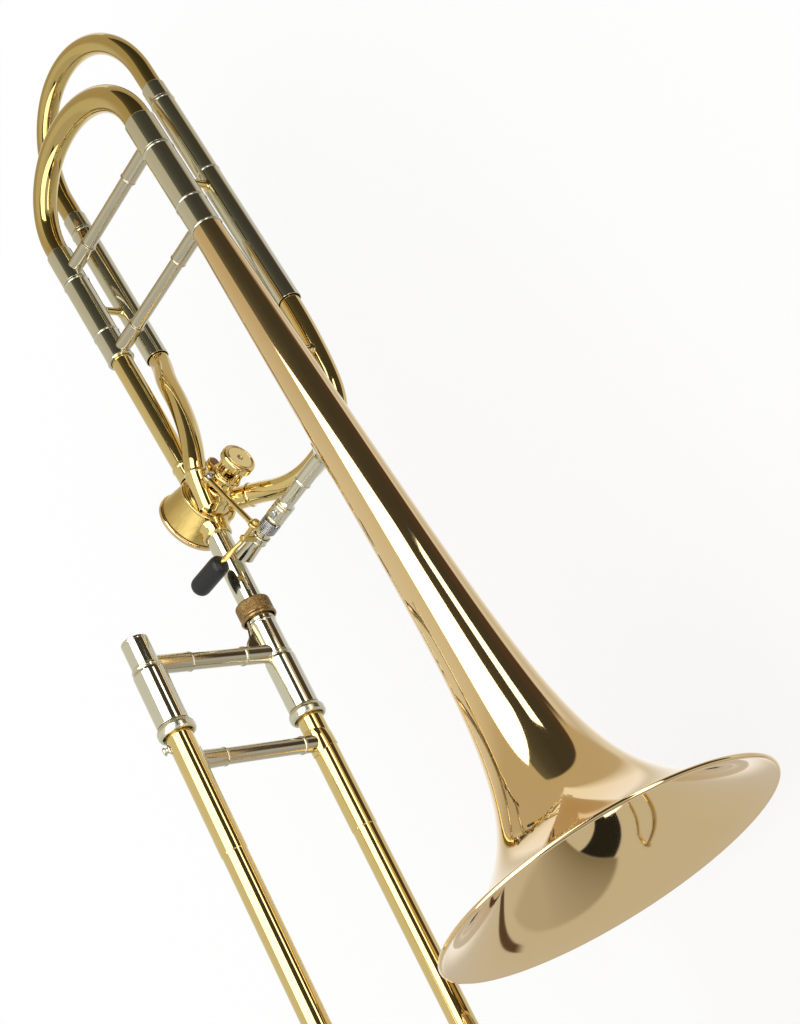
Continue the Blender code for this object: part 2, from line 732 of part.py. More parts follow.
def water_key(slide_body, key_body, bow_core):
    """The spit valve: a nipple, a saddle with its pin and spring, and the sprung lever."""
    down = (0, 0, -1)
    across = (1, 0, 0)
    seat = TUBE_Z + WATER_KEY_SEAT_DROP
    pin_z = -TUBE_Z - WATER_KEY_PIN_DROP
    pin_spot = (0, WATER_KEY_PIN_Y, pin_z)
    hole_spot = (0, WATER_KEY_HOLE_Y, 0)
    nipple = [(TUBE_Z + 0.004, 0.0018), (TUBE_Z + 0.004, 0.0042), (seat - 0.001, 0.0036)]
    nipple += [(seat, 0.0030), (seat, 0.0018)]
    nipple_piece = turned("water_key_nipple", nipple, NICKEL_SILVER, slide_body, hole_spot, down, 12)
    combine(nipple_piece, bow_core)

    ferrule_core = turned_helper(
        "saddle_core",
        rod_outline(BOW_FERRULE_START - 0.01, BOW_FERRULE_END + 0.01, BOW_FERRULE_RADIUS + GAP),
        slide_body,
        (0, 0, -TUBE_Z),
        (0, 1, 0),
    )
    pad_z = -TUBE_Z - BOW_FERRULE_RADIUS
    plate_spot = (0, WATER_KEY_PIN_Y, pad_z + 0.0004)
    plate = box("water_key_saddle", (0.0150, 0.0052, 0.0040), slide_body, plate_spot)
    finish(plate, NICKEL_SILVER)
    for side in (-1, 1):
        post = box_helper(
            f"saddle_post_{side}",
            (0.0015, 0.0046, 0.0092),
            slide_body,
            (side * 0.00675, WATER_KEY_PIN_Y, pad_z - 0.0032),
        )
        combine(plate, post, "UNION")
    combine(plate, ferrule_core)
    hole = turned_helper("pin_hole", rod_outline(-0.01, 0.01, 0.0011), slide_body, pin_spot, across, 12)
    combine(plate, hole)
    pin = [(-0.0084, 0.0), (-0.0084, 0.0015), (-0.0078, 0.0015), (-0.0078, 0.0008), (0.0084, 0.0008)]
    pin.append((0.0084, 0.0))
    turned("water_key_pin", pin, STEEL, slide_body, pin_spot, across, 10)
    route = coil_route(0.0027, 0.0054, 3, 0.0019, 0.0012)
    coil("water_key_spring", route, 0.00022, slide_body, pin_spot, across)

    knuckle = pipe_outline(-0.0022, 0.0022, 0.0024, 0.0012)
    lever = turned("water_key_lever", knuckle, LACQUERED_BRASS, key_body, pin_spot, across, 12)
    cup = turned_helper(
        "key_cup", rod_outline(seat + 0.0022, seat + 0.0044, 0.0052), key_body, hole_spot, down, 16
    )
    front_arm = box_helper(
        "key_front_arm",
        (0.0040, WATER_KEY_HOLE_Y - WATER_KEY_PIN_Y, 0.0016),
        key_body,
        (0, (WATER_KEY_HOLE_Y + WATER_KEY_PIN_Y + 0.0022) / 2, -seat - 0.0036),
    )
    touch_route = eased_route(
        [
            (0, WATER_KEY_PIN_Y - 0.0019, pin_z - 0.0010),
            (0, WATER_KEY_PIN_Y - 0.0090, pin_z - 0.0042),
            (0, WATER_KEY_TOUCH_Y + 0.0060, pin_z - 0.0058),
            (0, WATER_KEY_TOUCH_Y, pin_z - 0.0050),
        ],
        3,
    )
    rear_arm = mesh_bar("key_rear_arm", touch_route, 0.0040, 0.0014, key_body)
    touch = turned_helper(
        "key_touch",
        rod_outline(-pin_z + 0.0042, -pin_z + 0.0060, 0.0050),
        key_body,
        (0, WATER_KEY_TOUCH_Y, 0),
        down,
        16,
    )
    for extra in (cup, front_arm, rear_arm, touch):
        combine(lever, extra, "UNION")
    cork = rod_outline(seat + GAP, seat + 0.0022 - GAP, 0.0044)
    turned("water_key_cork", cork, CORK, key_body, hole_spot, down, 14)


def mesh_bar(name, route, width, thickness, body):
    """A flat strip that follows a route in the YZ plane."""
    mesh_data = bmesh.new()
    rows = []
    for index, place in enumerate(route):
        ahead = route[min(index + 1, len(route) - 1)] - route[max(index - 1, 0)]
        rise = Vector((0, -ahead.z, ahead.y)).normalized() * thickness / 2
        side = Vector((width / 2, 0, 0))
        corners = (place - side - rise, place + side - rise, place + side + rise, place - side + rise)
        rows.append([mesh_data.verts.new(corner) for corner in corners])
    loop_faces(mesh_data, rows)
    mesh_data.faces.new(rows[0])
    mesh_data.faces.new(reversed(rows[-1]))
    bmesh.ops.recalc_face_normals(mesh_data, faces=mesh_data.faces)
    mesh = bpy.data.meshes.new(name)
    mesh_data.to_mesh(mesh)
    mesh_data.free()
    return helper(link(name, mesh, body))


def bell_section_frame():
    """The empty that the bell section hangs on, on the neckpipe's axis."""
    frame = empty("bell_section", (0, BELL_ORIGIN_Y, -TUBE_Z))
    turn = (
        Matrix.Rotation(-BELL_SWING, 3, "Y")
        @ Matrix.Rotation(BELL_SPREAD, 3, "Z")
        @ Matrix.Rotation(-BELL_LEAN, 3, "X")
    )
    frame.rotation_euler = turn.to_euler()
    return frame


def bell(frame):
    forward = (0, 1, 0)
    outer = [(BELL_RIM_V - distance, radius) for distance, radius in BELL_STATIONS]
    inner = []
    for (v, radius), (ahead_v, ahead_radius) in zip(outer[1:], outer):
        lean = math.hypot(ahead_radius - radius, ahead_v - v)
        inner.append((v, radius - BELL_WALL * lean / (ahead_v - v)))
    inner[-1] = (BELL_TAIL_V, outer[-1][1] - BELL_WALL)
    rim_v, rim_radius = outer[0]
    wire_centre = (rim_v - 0.0004, rim_radius - BELL_RIM_WIRE)
    outline = [*inner[::-1], (rim_v - 0.0006, rim_radius - 2.2 * BELL_RIM_WIRE)]
    for step in range(4):
        turn = math.radians(150 - 75 * step)
        wire_v = wire_centre[0] + BELL_RIM_WIRE * math.sin(turn)
        outline.append((wire_v, wire_centre[1] + BELL_RIM_WIRE * math.cos(turn)))
    outline += outer[1:]
    spot = bell_point(BELL_OFFSET, 0, 0)
    turned("bell", outline, GOLD_BRASS, frame, spot, forward, 28)


def bell_core(frame):
    """The bell's outer surface near its brace, grown by the gap."""
    outline = [(0.0, 0.0)]
    for step in range(7):
        v = 0.03 * step
        outline.append((v, bell_radius(BELL_RIM_V - v) + 1.5 * GAP))
    outline.append((0.18, 0.0))
    return turned_helper("bell_core", outline, frame, bell_point(BELL_OFFSET, 0, 0), (0, 1, 0), 32)


def neckpipe(frame, valve_core):
    """The pipe from the slide's tenon to the valve. It lies on the slide's lower axis."""
    forward = (0, 1, 0)
    spot = (0, 0, -TUBE_Z)
    pipe = [
        (NECKPIPE_START, NECKPIPE_BORE),
        (NECKPIPE_START, NECKPIPE_RADIUS),
        (NECKPIPE_END - 0.0018, NECKPIPE_RADIUS),
        (NECKPIPE_END - 0.0018, NECKPIPE_FLANGE_RADIUS),
        (NECKPIPE_END, NECKPIPE_FLANGE_RADIUS),
        (NECKPIPE_END, NECKPIPE_BORE),
    ]
    collar_radius = NECKPIPE_RADIUS + 0.0016
    collar_bore = NECKPIPE_RADIUS + GAP
    rings = (COLLAR_END - 0.0020,)
    collar = pipe_outline(NECKPIPE_START, COLLAR_END, collar_radius, collar_bore, rings)
    for name, outline, look in (
        ("neckpipe", pipe, NICKEL_SILVER),
        ("neckpipe_collar", collar, LACQUERED_BRASS),
    ):
        piece = turned(name, outline, look, None, spot, forward, 18)
        piece.parent = frame
        piece.matrix_parent_inverse = frame.matrix_world.inverted()
        combine(piece, valve_core)


def tuning_slide(frame, body, core):
    """The main tuning slide: its crook, its two legs, and the brace that pulls it."""
    forward = (0, 1, 0)
    half = BELL_OFFSET / 2
    steps = 12
    route = [bell_point(0, 0, FERRULE_START_V - GAP)]
    for step in range(steps + 1):
        turn = math.pi * step / steps
        depth = CROOK_CENTRE_V - CROOK_DEPTH * half * math.sin(turn)
        route.append(bell_point(half - half * math.cos(turn), 0, depth))
    route.append(bell_point(BELL_OFFSET, 0, FERRULE_START_V - GAP))
    swept(
        "main_crook", route, NECK_CROOK_RADIUS, LACQUERED_BRASS, body, 12, TUBE_WALL, BELL_CROOK_RADIUS
    )
    sides = (
        ("neck", 0.0, NECK_SLEEVE_RADIUS),
        ("bell", BELL_OFFSET, BELL_SLEEVE_RADIUS),
    )
    for place, shift, radius in sides:
        spot = bell_point(shift, 0, 0)
        bore = radius - SLEEVE_WALL
        leg_radius = bore - 0.00035
        leg = [
            (FERRULE_START_V, leg_radius - 0.0004),
            (FERRULE_START_V, radius - 0.0003),
            (FERRULE_START_V + 0.001, radius),
            (SLEEVE_START_V - GAP, radius),
            (SLEEVE_START_V - GAP, leg_radius),
            (LEG_END_V, leg_radius),
            (LEG_END_V, leg_radius - 0.0004),
        ]
        turned(f"main_leg_{place}", leg, NICKEL_SILVER, body, spot, forward, 14)
        sleeve = beaded_edge(SLEEVE_START_V, SLEEVE_END_V, radius, (SLEEVE_START_V + 0.0013, SLEEVE_RING_V))
        lip = GOOSENECK_RADIUS + GAP if place == "neck" else bore
        sleeve += [
            (SLEEVE_END_V, lip),
            (SLEEVE_END_V - 0.0015, lip),
            (SLEEVE_END_V - 0.0015, bore),
            (SLEEVE_START_V, bore),
        ]
        turned(f"main_sleeve_{place}", sleeve, NICKEL_SILVER, frame, spot, forward, 14)
    for name, place_v, holder in (
        ("tuning_brace", MOVING_BRACE_V, body),
        ("sleeve_brace", FIXED_BRACE_V, frame),
    ):
        feet = []
        for place, shift, radius in sides:
            spot = bell_point(shift, 0, 0)
            reach = (place_v - 0.009, place_v + 0.009)
            wrap = turned_helper(
                f"{name}_wrap_{place}", rod_outline(*reach, radius + GAP + 0.0009), holder, spot, forward
            )
            tube = turned_helper(
                f"{name}_core_{place}",
                rod_outline(place_v - 0.02, place_v + 0.02, radius + GAP),
                holder,
                spot,
                forward,
            )
            feet.append((shift, 0.0064, radius + 0.003, wrap, tube))
        brace(
            name,
            NICKEL_SILVER,
            holder,
            bell_point(0, 0, place_v),
            (-1, 0, 0),
            (0.005, BELL_OFFSET - 0.006),
            TUNING_BRACE_RADIUS,
            TUNING_BRACE_RINGS,
            feet,
        )
    gooseneck = pipe_outline(
        SLEEVE_END_V - 0.009,
        VALVE_V,
        GOOSENECK_RADIUS,
        GOOSENECK_RADIUS - TUBE_WALL,
        (GOOSENECK_RING_V,),
    )
    combine(
        turned("gooseneck", gooseneck, LACQUERED_BRASS, frame, bell_point(0, 0, 0), forward, 14), core
    )


def f_attachment(frame, body, core):
    """The F tuning slide and the two tubes that lead it out of the valve and back."""
    forward = (0, 1, 0)
    half = BELL_OFFSET / 2
    steps = 12
    start_v = F_FERRULE_START_V - GAP
    route = [bell_point(F_SHIFT, F_DROP, start_v)]
    for step in range(steps + 1):
        turn = math.pi * step / steps
        depth = F_CROOK_CENTRE_V - F_CROOK_DEPTH * half * math.sin(turn)
        route.append(bell_point(F_SHIFT + half - half * math.cos(turn), F_DROP, depth))
    route.append(bell_point(F_SHIFT + BELL_OFFSET, F_DROP, start_v))
    swept("f_crook", route, F_TUBE_RADIUS, LACQUERED_BRASS, body, 10, TUBE_WALL)
    leg_radius = F_SLEEVE_BORE - 0.00035
    leg = [
        (F_FERRULE_START_V, leg_radius - 0.0004),
        (F_FERRULE_START_V, F_SLEEVE_RADIUS - 0.0003),
        (F_FERRULE_START_V + 0.001, F_SLEEVE_RADIUS),
        (F_SLEEVE_START_V - GAP, F_SLEEVE_RADIUS),
        (F_SLEEVE_START_V - GAP, leg_radius),
        (F_LEG_END_V, leg_radius),
        (F_LEG_END_V, leg_radius - 0.0004),
    ]
    sides = (
        ("neck", F_SHIFT, F_NECK_SLEEVE_END_V, (F_SLEEVE_START_V + 0.0013,)),
        ("bell", F_SHIFT + BELL_OFFSET, F_BELL_SLEEVE_END_V, (F_SLEEVE_START_V + 0.0013, F_RING_V)),
    )
    for place, shift, end_v, rings in sides:
        spot = bell_point(shift, F_DROP, 0)
        turned(f"f_leg_{place}", leg, NICKEL_SILVER, body, spot, forward, 12)
        sleeve = pipe_outline(F_SLEEVE_START_V, end_v, F_SLEEVE_RADIUS, F_SLEEVE_BORE, rings)
        turned(f"f_sleeve_{place}", sleeve, NICKEL_SILVER, frame, spot, forward, 12)
    feed = [
        (0.0015, -0.0320, -0.0900),
        (0.0017, -0.0318, -0.0830),
        (0.0052, -0.0258, -0.0690),
        (0.0090, -0.0190, -0.0560),
        (0.0140, -0.0118, -0.0350),
        (0.0180, -0.0042, -0.0125),
        (0.0196, 0.0030, 0.0075),
        (0.0182, 0.0082, 0.0225),
        (0.0140, 0.0100, 0.0340),
        (0.0070, 0.0085, 0.0420),
        (0.0000, 0.0050, 0.0460),
    ]
    back = [
        (0.1195, -0.0320, -0.0270),
        (0.1190, -0.0320, -0.0100),
        (0.1162, -0.0320, 0.0240),
        (0.1132, -0.0318, 0.0425),
        (0.1080, -0.0314, 0.0565),
        (0.0965, -0.0298, 0.0680),
        (0.0760, -0.0265, 0.0750),
        (0.0560, -0.0222, 0.0742),
        (0.0425, -0.0186, 0.0690),
        (0.0330, -0.0160, 0.0632),
        (0.0245, -0.0140, 0.0585),
        (0.0150, -0.0115, 0.0535),
        (0.0060, -0.0080, 0.0490),
    ]
    for name, stations in (("f_tube_feed", feed), ("f_tube_return", back)):
        places = eased_route([bell_point(*station) for station in stations], 2)
        piece = swept(name, places, F_TUBE_RADIUS - 0.0002, LACQUERED_BRASS, frame, 10, TUBE_WALL)
        combine(piece, core)
    stays(frame)


def stays(frame):
    """Short posts that hold the F tubing to the main tubing."""
    up = (0, 0, 1)
    low_bell = bell_radius(BELL_RIM_V - LOW_STAY_V)
    places = (
        ("stay_neck", 0.0008, STAY_V, NECK_SLEEVE_RADIUS, F_SLEEVE_RADIUS),
        ("stay_bell", 0.1190, STAY_V + 0.003, BELL_SLEEVE_RADIUS, F_SLEEVE_RADIUS),
        ("stay_low", 0.1178, LOW_STAY_V, low_bell, F_TUBE_RADIUS),
    )
    for name, e, v, upper_radius, lower_radius in places:
        top = -upper_radius - 2 * GAP
        bottom = F_DROP + lower_radius + GAP
        middle = (top + bottom) / 2
        outline = [
            (bottom, 0.0),
            (bottom, STAY_RADIUS + 0.0016),
            (bottom + 0.0012, STAY_RADIUS + 0.0012),
            (bottom + 0.0024, STAY_RADIUS),
            (middle, STAY_RADIUS),
            (top - 0.0024, STAY_RADIUS),
            (top - 0.0012, STAY_RADIUS + 0.0012),
            (top, STAY_RADIUS + 0.0016),
            (top, 0.0),
        ]
        turned(name, outline, LACQUERED_BRASS, frame, bell_point(e, 0, v), up, 10)


def nose_edge(grow):
    """Outer edge of the front bearing's rounded cone, grown for the solid that trims the tubes."""
    return [
        (CASING_FRONT_E + GAP, NOSE_RADIUS + grow),
        (CASING_FRONT_E + 0.0030 + grow, NOSE_RADIUS - 0.0004 + grow),
        (CASING_FRONT_E + 0.0075 + grow, NOSE_RADIUS - 0.0035 + grow),
        (NOSE_END_E - 0.0010 + grow, NOSE_TIP_RADIUS + 0.0003 + grow),
        (NOSE_END_E + 0.0015 + grow, NOSE_TIP_RADIUS + grow),
    ]


def valve_core(frame):
    """The valve's outer surface, grown by the gap, which trims every tube that enters it."""
    outline = [
        (CAP_BACK_E - 0.002, 0.0),
        (CAP_BACK_E - 0.002, CAP_RADIUS + GAP),
        (CASING_BACK_E, CAP_RADIUS + GAP),
        (CASING_BACK_E, CASING_BACK_RADIUS + GAP),
        (CASING_FRONT_E + GAP, CASING_FRONT_RADIUS + GAP),
        *nose_edge(GAP),
        (NOSE_END_E + 0.0015 + GAP, 0.0),
    ]
    return turned_helper("valve_core", outline, frame, bell_point(0, 0, VALVE_V), (-1, 0, 0), 24)


def rotary_valve(frame, rotor_body):
    """The drum valve: casing, caps and bearing on the bell section, and the rotor with its stop arm."""
    outward = (-1, 0, 0)
    spot = bell_point(0, 0, VALVE_V)
    casing = [
        (CASING_BACK_E, CASING_BORE),
        (CASING_BACK_E, CASING_BACK_RADIUS),
        (CASING_FRONT_E - 0.0010, CASING_FRONT_RADIUS + 0.0002),
        (CASING_FRONT_E, CASING_FRONT_RADIUS - 0.0006),
        (CASING_FRONT_E, 0.0096),
        (CASING_FRONT_E - 0.0024, 0.0096),
        (CASING_FRONT_E - 0.0024, CASING_BORE),
    ]
    turned("valve_casing", casing, LACQUERED_BRASS, frame, spot, outward, 24)
    cap = [
        (CAP_BACK_E, 0.0),
        (CAP_BACK_E, 0.0060),
        (CAP_BACK_E + 0.0006, 0.0066),
        (CAP_BACK_E + 0.0008, CAP_RADIUS - 0.0014),
        (CAP_BACK_E + 0.0018, CAP_RADIUS),
        (CASING_BACK_E - GAP, CAP_RADIUS),
        (CASING_BACK_E - GAP, 0.0),
    ]
    turned("valve_back_cap", cap, LACQUERED_BRASS, frame, spot, outward, 24)
    nose = [
        (CASING_FRONT_E + GAP, SPINDLE_RADIUS + 0.0004),
        *nose_edge(0.0),
        (NOSE_END_E + 0.0015, SPINDLE_RADIUS + 0.0004),
    ]
    nose_piece = turned("valve_bearing", nose, LACQUERED_BRASS, frame, spot, outward, 24)
    bumper_e, bumper_n, bumper_v = BUMPER_POINT
    bumper_spot = bell_point(0, bumper_n, bumper_v)
    lug_radius = 0.0042
    lug = turned_helper(
        "stop_lug", rod_outline(NOSE_END_E, NOSE_END_E + 0.0015, lug_radius), frame, bumper_spot, outward, 14
    )
    combine(nose_piece, lug, "UNION")
    reach = math.hypot(VALVE_V - bumper_v, bumper_n)
    inner_reach = 0.0065
    share = (inner_reach + reach) / 2 / reach
    bridge = box_helper(
        "stop_bridge",
        (0.0013, reach - inner_reach, 0.0060),
        frame,
        bell_point(NOSE_END_E + 0.00078, share * bumper_n, VALVE_V + share * (bumper_v - VALVE_V)),
    )
    bridge.rotation_euler = (math.atan2(-bumper_n, VALVE_V - bumper_v), 0, 0)
    combine(nose_piece, bridge, "UNION")
    stop = [
        (NOSE_END_E + 0.0015 + GAP, 0.0),
        (NOSE_END_E + 0.0015 + GAP, lug_radius),
        (bumper_e, lug_radius),
        (bumper_e + 0.0010, lug_radius - 0.0012),
        (bumper_e + 0.0012, 0.0),
    ]
    turned("stop_bumper", stop, CORK, frame, bumper_spot, outward, 14)
    rotor(rotor_body, spot, outward)


def rotor(body, spot, outward):
    outline = [
        (CASING_BACK_E + 0.0006, 0.0),
        (CASING_BACK_E + 0.0006, ROTOR_RADIUS),
        (CASING_FRONT_E - 0.0030, ROTOR_RADIUS),
        (CASING_FRONT_E - 0.0030, SPINDLE_RADIUS),
        (KNOB_START_E - 2 * GAP, SPINDLE_RADIUS),
        (KNOB_START_E - 2 * GAP, 0.0),
    ]
    piece = turned("valve_rotor", outline, LACQUERED_BRASS, body, spot, outward, 24)
    windway_e = (CASING_BACK_E + CASING_FRONT_E) / 2 - 0.0012
    for side in (-1, 1):
        windway = turned_helper(
            f"windway_{side}",
            rod_outline(-0.03, 0.03, 0.0066),
            body,
            bell_point(windway_e, side * 0.0120, VALVE_V),
            (0, 1, 0),
            12,
        )
        combine(piece, windway)
    arm_end = STOP_ARM_E + 0.0014
    hub_end = STOP_ARM_E + 0.0058
    bore = SPINDLE_RADIUS + GAP
    hub = [(STOP_ARM_E, bore), (STOP_ARM_E, 0.0070), (hub_end, 0.0066), (hub_end, bore)]
    arm = turned("stop_arm", hub, LACQUERED_BRASS, body, spot, outward, 20)
    pin_spot = bell_point(0, STOP_PIN_N, STOP_PIN_V)
    lobe = turned_helper("stop_lobe", rod_outline(STOP_ARM_E, arm_end, 0.0036), body, pin_spot, outward, 16)
    web = box_helper(
        "stop_web",
        (0.0013, 0.0062, STOP_PIN_N - 0.0050),
        body,
        bell_point(STOP_ARM_E + 0.0007, (STOP_PIN_N + 0.0050) / 2, (STOP_PIN_V + VALVE_V) / 2),
    )
    head_start = arm_end + EYE_WIDTH + 3 * GAP
    pin = [
        (STOP_ARM_E + 0.0004, 0.0),
        (STOP_ARM_E + 0.0004, PIN_RADIUS),
        (head_start, PIN_RADIUS),
        (head_start, 0.0026),
        (head_start + 0.0008, 0.0022),
        (head_start + 0.0010, 0.0),
    ]
    pin_piece = turned_helper("stop_pin", pin, body, pin_spot, outward, 12)
    for extra in (web, lobe, pin_piece):
        combine(arm, extra, "UNION")
    neck_start = hub_end + GAP
    cage = bore + 0.0018
    cap = [
        (KNOB_START_E, 0.0),
        (KNOB_START_E, cage),
        (neck_start, cage),
        (neck_start, NECK_RADIUS),
        (KNOB_START_E, NECK_RADIUS),
        (KNOB_START_E, KNOB_RADIUS - 0.0008),
        (KNOB_START_E + 0.0008, KNOB_RADIUS),
        (KNOB_END_E - 0.0014, KNOB_RADIUS),
        (KNOB_END_E - 0.0004, KNOB_RADIUS - 0.0008),
        (KNOB_END_E, KNOB_RADIUS - 0.0020),
        (KNOB_END_E, 0.0012),
        (KNOB_END_E - 0.0030, 0.0012),
        (KNOB_END_E - 0.0030, 0.0),
    ]
    cap_piece = turned("valve_cap", cap, LACQUERED_BRASS, body, spot, outward, 16)
    slots = 6
    for index in range(slots // 2):
        slot = box_helper(
            f"neck_slot_{index}",
            (0.0068, 0.0022, 0.03),
            body,
            bell_point((neck_start + KNOB_START_E) / 2 + 0.0006, 0, VALVE_V),
        )
        slot.rotation_euler = (math.tau * index / slots, 0, 0)
        combine(cap_piece, slot)


def link_rod(body):
    """The rod from the trigger's pin to the stop arm's pin, with an eye round each."""
    outward = (-1, 0, 0)
    lever_e, lever_n, lever_v = LEVER_PIN
    stop_e = STOP_ARM_E + 0.0014 + GAP + EYE_WIDTH / 2
    bore = PIN_RADIUS + 0.0004
    near = bell_point(stop_e, STOP_PIN_N, STOP_PIN_V)
    far = bell_point(lever_e, lever_n, lever_v)
    run = (far - near).normalized()
    eye = pipe_outline(-EYE_WIDTH / 2, EYE_WIDTH / 2, EYE_RADIUS - 0.0002, bore + 0.0003)
    piece = turned("link_rod", eye, LACQUERED_BRASS, body, near, outward, 16)
    far_eye = turned_helper(
        "rod_far_eye", pipe_outline(-EYE_WIDTH / 2, EYE_WIDTH / 2, EYE_RADIUS, bore), body, far, outward, 16
    )
    length = (far - near).length
    reach = EYE_RADIUS - 0.0012
    shank = turned_helper(
        "rod_shank", rod_outline(reach, length - reach, 0.00125), body, near, run, 10
    )
    combine(piece, shank, "UNION")
    combine(piece, far_eye, "UNION")


def trigger(frame, body):
    """The thumb lever on the bell brace, its rubber sleeve, and the spring that returns it."""
    outward = (-1, 0, 0)
    spot = bell_point(0, 0, BRACE_V)
    bore = BRACE_RADIUS + 0.0004
    hub = pipe_outline(HUB_START_E, HUB_END_E, HUB_RADIUS, bore)
    lever = turned("trigger_lever", hub, LACQUERED_BRASS, body, spot, outward, 16)
    pin_e, pin_n, pin_v = LEVER_PIN
    thumb_start = bell_point(*THUMB_START)
    thumb_run = (bell_point(*THUMB_END) - thumb_start).normalized()
    thumb_length = (bell_point(*THUMB_END) - thumb_start).length
    stations = [
        bell_point(pin_e - EYE_WIDTH / 2 - GAP, pin_n, pin_v),
        bell_point(0.0300, 0.0140, 0.0958),
        bell_point(0.0235, 0.0142, 0.0960),
        bell_point(0.0165, 0.0170, 0.0970),
        bell_point(0.0110, 0.0205, 0.0985),
        thumb_start + 0.001 * thumb_run,
        thumb_start + 0.014 * thumb_run,
        thumb_start + (thumb_length - 0.005) * thumb_run,
    ]
    arm_mesh = swept_mesh("lever_arm", eased_route(stations, 2), LEVER_RADIUS, 8)
    arm_solid = helper(link("lever_arm", arm_mesh, body))
    post = turned_helper(
        "lever_post",
        rod_outline(HUB_RADIUS - 0.0012, pin_n, 0.0024),
        body,
        bell_point((HUB_START_E + HUB_END_E) / 2, 0, BRACE_V + 0.0006),
        (0, 0, 1),
        12,
    )
    head_start = pin_e + EYE_WIDTH / 2 + GAP
    pin = [
        (pin_e - EYE_WIDTH / 2 - 3 * GAP, 0.0),
        (pin_e - EYE_WIDTH / 2 - 3 * GAP, PIN_RADIUS),
        (head_start, PIN_RADIUS),
        (head_start + 0.0002, 0.0026),
        (head_start + 0.0014, 0.0028),
        (head_start + 0.0026, 0.0018),
        (head_start + 0.0029, 0.0),
    ]
    pin_piece = turned_helper("lever_pin", pin, body, bell_point(0, pin_n, pin_v), outward, 12)
    for extra in (post, arm_solid, pin_piece):
        combine(lever, extra, "UNION")
    hollow = LEVER_RADIUS + 0.0004
    sleeve = [
        (0.0, hollow),
        (0.0, THUMB_RADIUS - 0.0026),
        (0.0010, THUMB_RADIUS - 0.0008),
        (0.0032, THUMB_RADIUS),
        (thumb_length - 0.0045, THUMB_RADIUS),
        (thumb_length - 0.0020, THUMB_RADIUS - 0.0012),
        (thumb_length - 0.0004, THUMB_RADIUS - 0.0034),
        (thumb_length, 0.0),
        (thumb_length - 0.0044, 0.0),
        (thumb_length - 0.0044, hollow),
    ]
    outline = [*sleeve[7::-1], *sleeve[:7:-1]]
    turned("thumb_sleeve", outline, BLACK_RUBBER, body, thumb_start, thumb_run, 12)
    route = coil_route(SPRING_START_E, SPRING_END_E, SPRING_TURNS, SPRING_RADIUS, 0.0012)
    coil("trigger_spring", route, SPRING_WIRE, frame, spot, outward)


def bell_brace(frame, core):
    """The brace from the neckpipe to the bell, with the collar that the trigger's spring works on."""
    outward = (-1, 0, 0)
    spot = bell_point(0, 0, BRACE_V)
    bell_edge = BELL_OFFSET - bell_radius(BELL_RIM_V - BRACE_V)
    outline = [
        (-0.0020, 0.0),
        (-0.0020, 0.0068),
        (0.0038, 0.0066),
        (0.0050, BRACE_RADIUS + 0.0004),
        (0.0075, BRACE_RADIUS),
        (COLLAR_START_E, BRACE_RADIUS),
        (COLLAR_START_E, COLLAR_RADIUS),
        (COLLAR_END_E - 0.001, COLLAR_RADIUS),
        (COLLAR_END_E, BRACE_RADIUS),
        *beaded_edge(COLLAR_END_E + 0.002, bell_edge - 0.0085, BRACE_RADIUS, (0.078,)),
        (bell_edge - 0.0060, BRACE_RADIUS + 0.0010),
        (bell_edge - 0.0030, BRACE_RADIUS + 0.0040),
        (bell_edge + 0.0010, 0.0108),
        (bell_edge + 0.0070, 0.0110),
        (bell_edge + 0.0070, 0.0),
    ]
    piece = turned("bell_brace", outline, NICKEL_SILVER, frame, spot, outward, 12)
    pipe_core = turned_helper(
        "neckpipe_core",
        rod_outline(-0.11, -0.03, NECKPIPE_RADIUS + GAP),
        None,
        (0, 0, -TUBE_Z),
        (0, 1, 0),
        32,
    )
    combine(piece, pipe_core)
    combine(piece, core)


def main():
    clear_scene()
    inner_slide()
    lock_nut()
    slide_body = empty("hand_slide")
    bow_core = hand_slide(slide_body)
    key_spot = (0, WATER_KEY_PIN_Y, -TUBE_Z - WATER_KEY_PIN_DROP)
    key_body = empty("water_key", key_spot, slide_body)
    water_key(slide_body, key_body, bow_core)
    frame = bell_section_frame()
    bpy.context.view_layer.update()
    valve_shape = valve_core(frame)
    bell(frame)
    bell_brace(frame, bell_core(frame))
    neckpipe(frame, valve_shape)
    main_body = empty("main_tuning_slide", bell_point(0, 0, CROOK_CENTRE_V), frame)
    tuning_slide(frame, main_body, valve_shape)
    f_body = empty("f_tuning_slide", bell_point(0, F_DROP, F_CROOK_CENTRE_V), frame)
    f_attachment(frame, f_body, valve_shape)
    rotor_body = empty("valve_rotor_axis", bell_point(0, 0, VALVE_V), frame)
    rotary_valve(frame, rotor_body)
    trigger_body = empty("trigger_axis", bell_point(0, 0, BRACE_V), frame)
    trigger(frame, trigger_body)
    rod_body = empty("link_rod_axis", bell_point(*LEVER_PIN), frame)
    link_rod(rod_body)


main()
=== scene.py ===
"""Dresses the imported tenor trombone: smooth metal surfaces, finishes, studio and camera.

Lengths are metres, but outlines, their radii and places in the bell section are given in millimetres. The
bell section has its own directions: e runs from the neckpipe to the bell, v forward along the bell and n up
from both.
"""

import json
import math

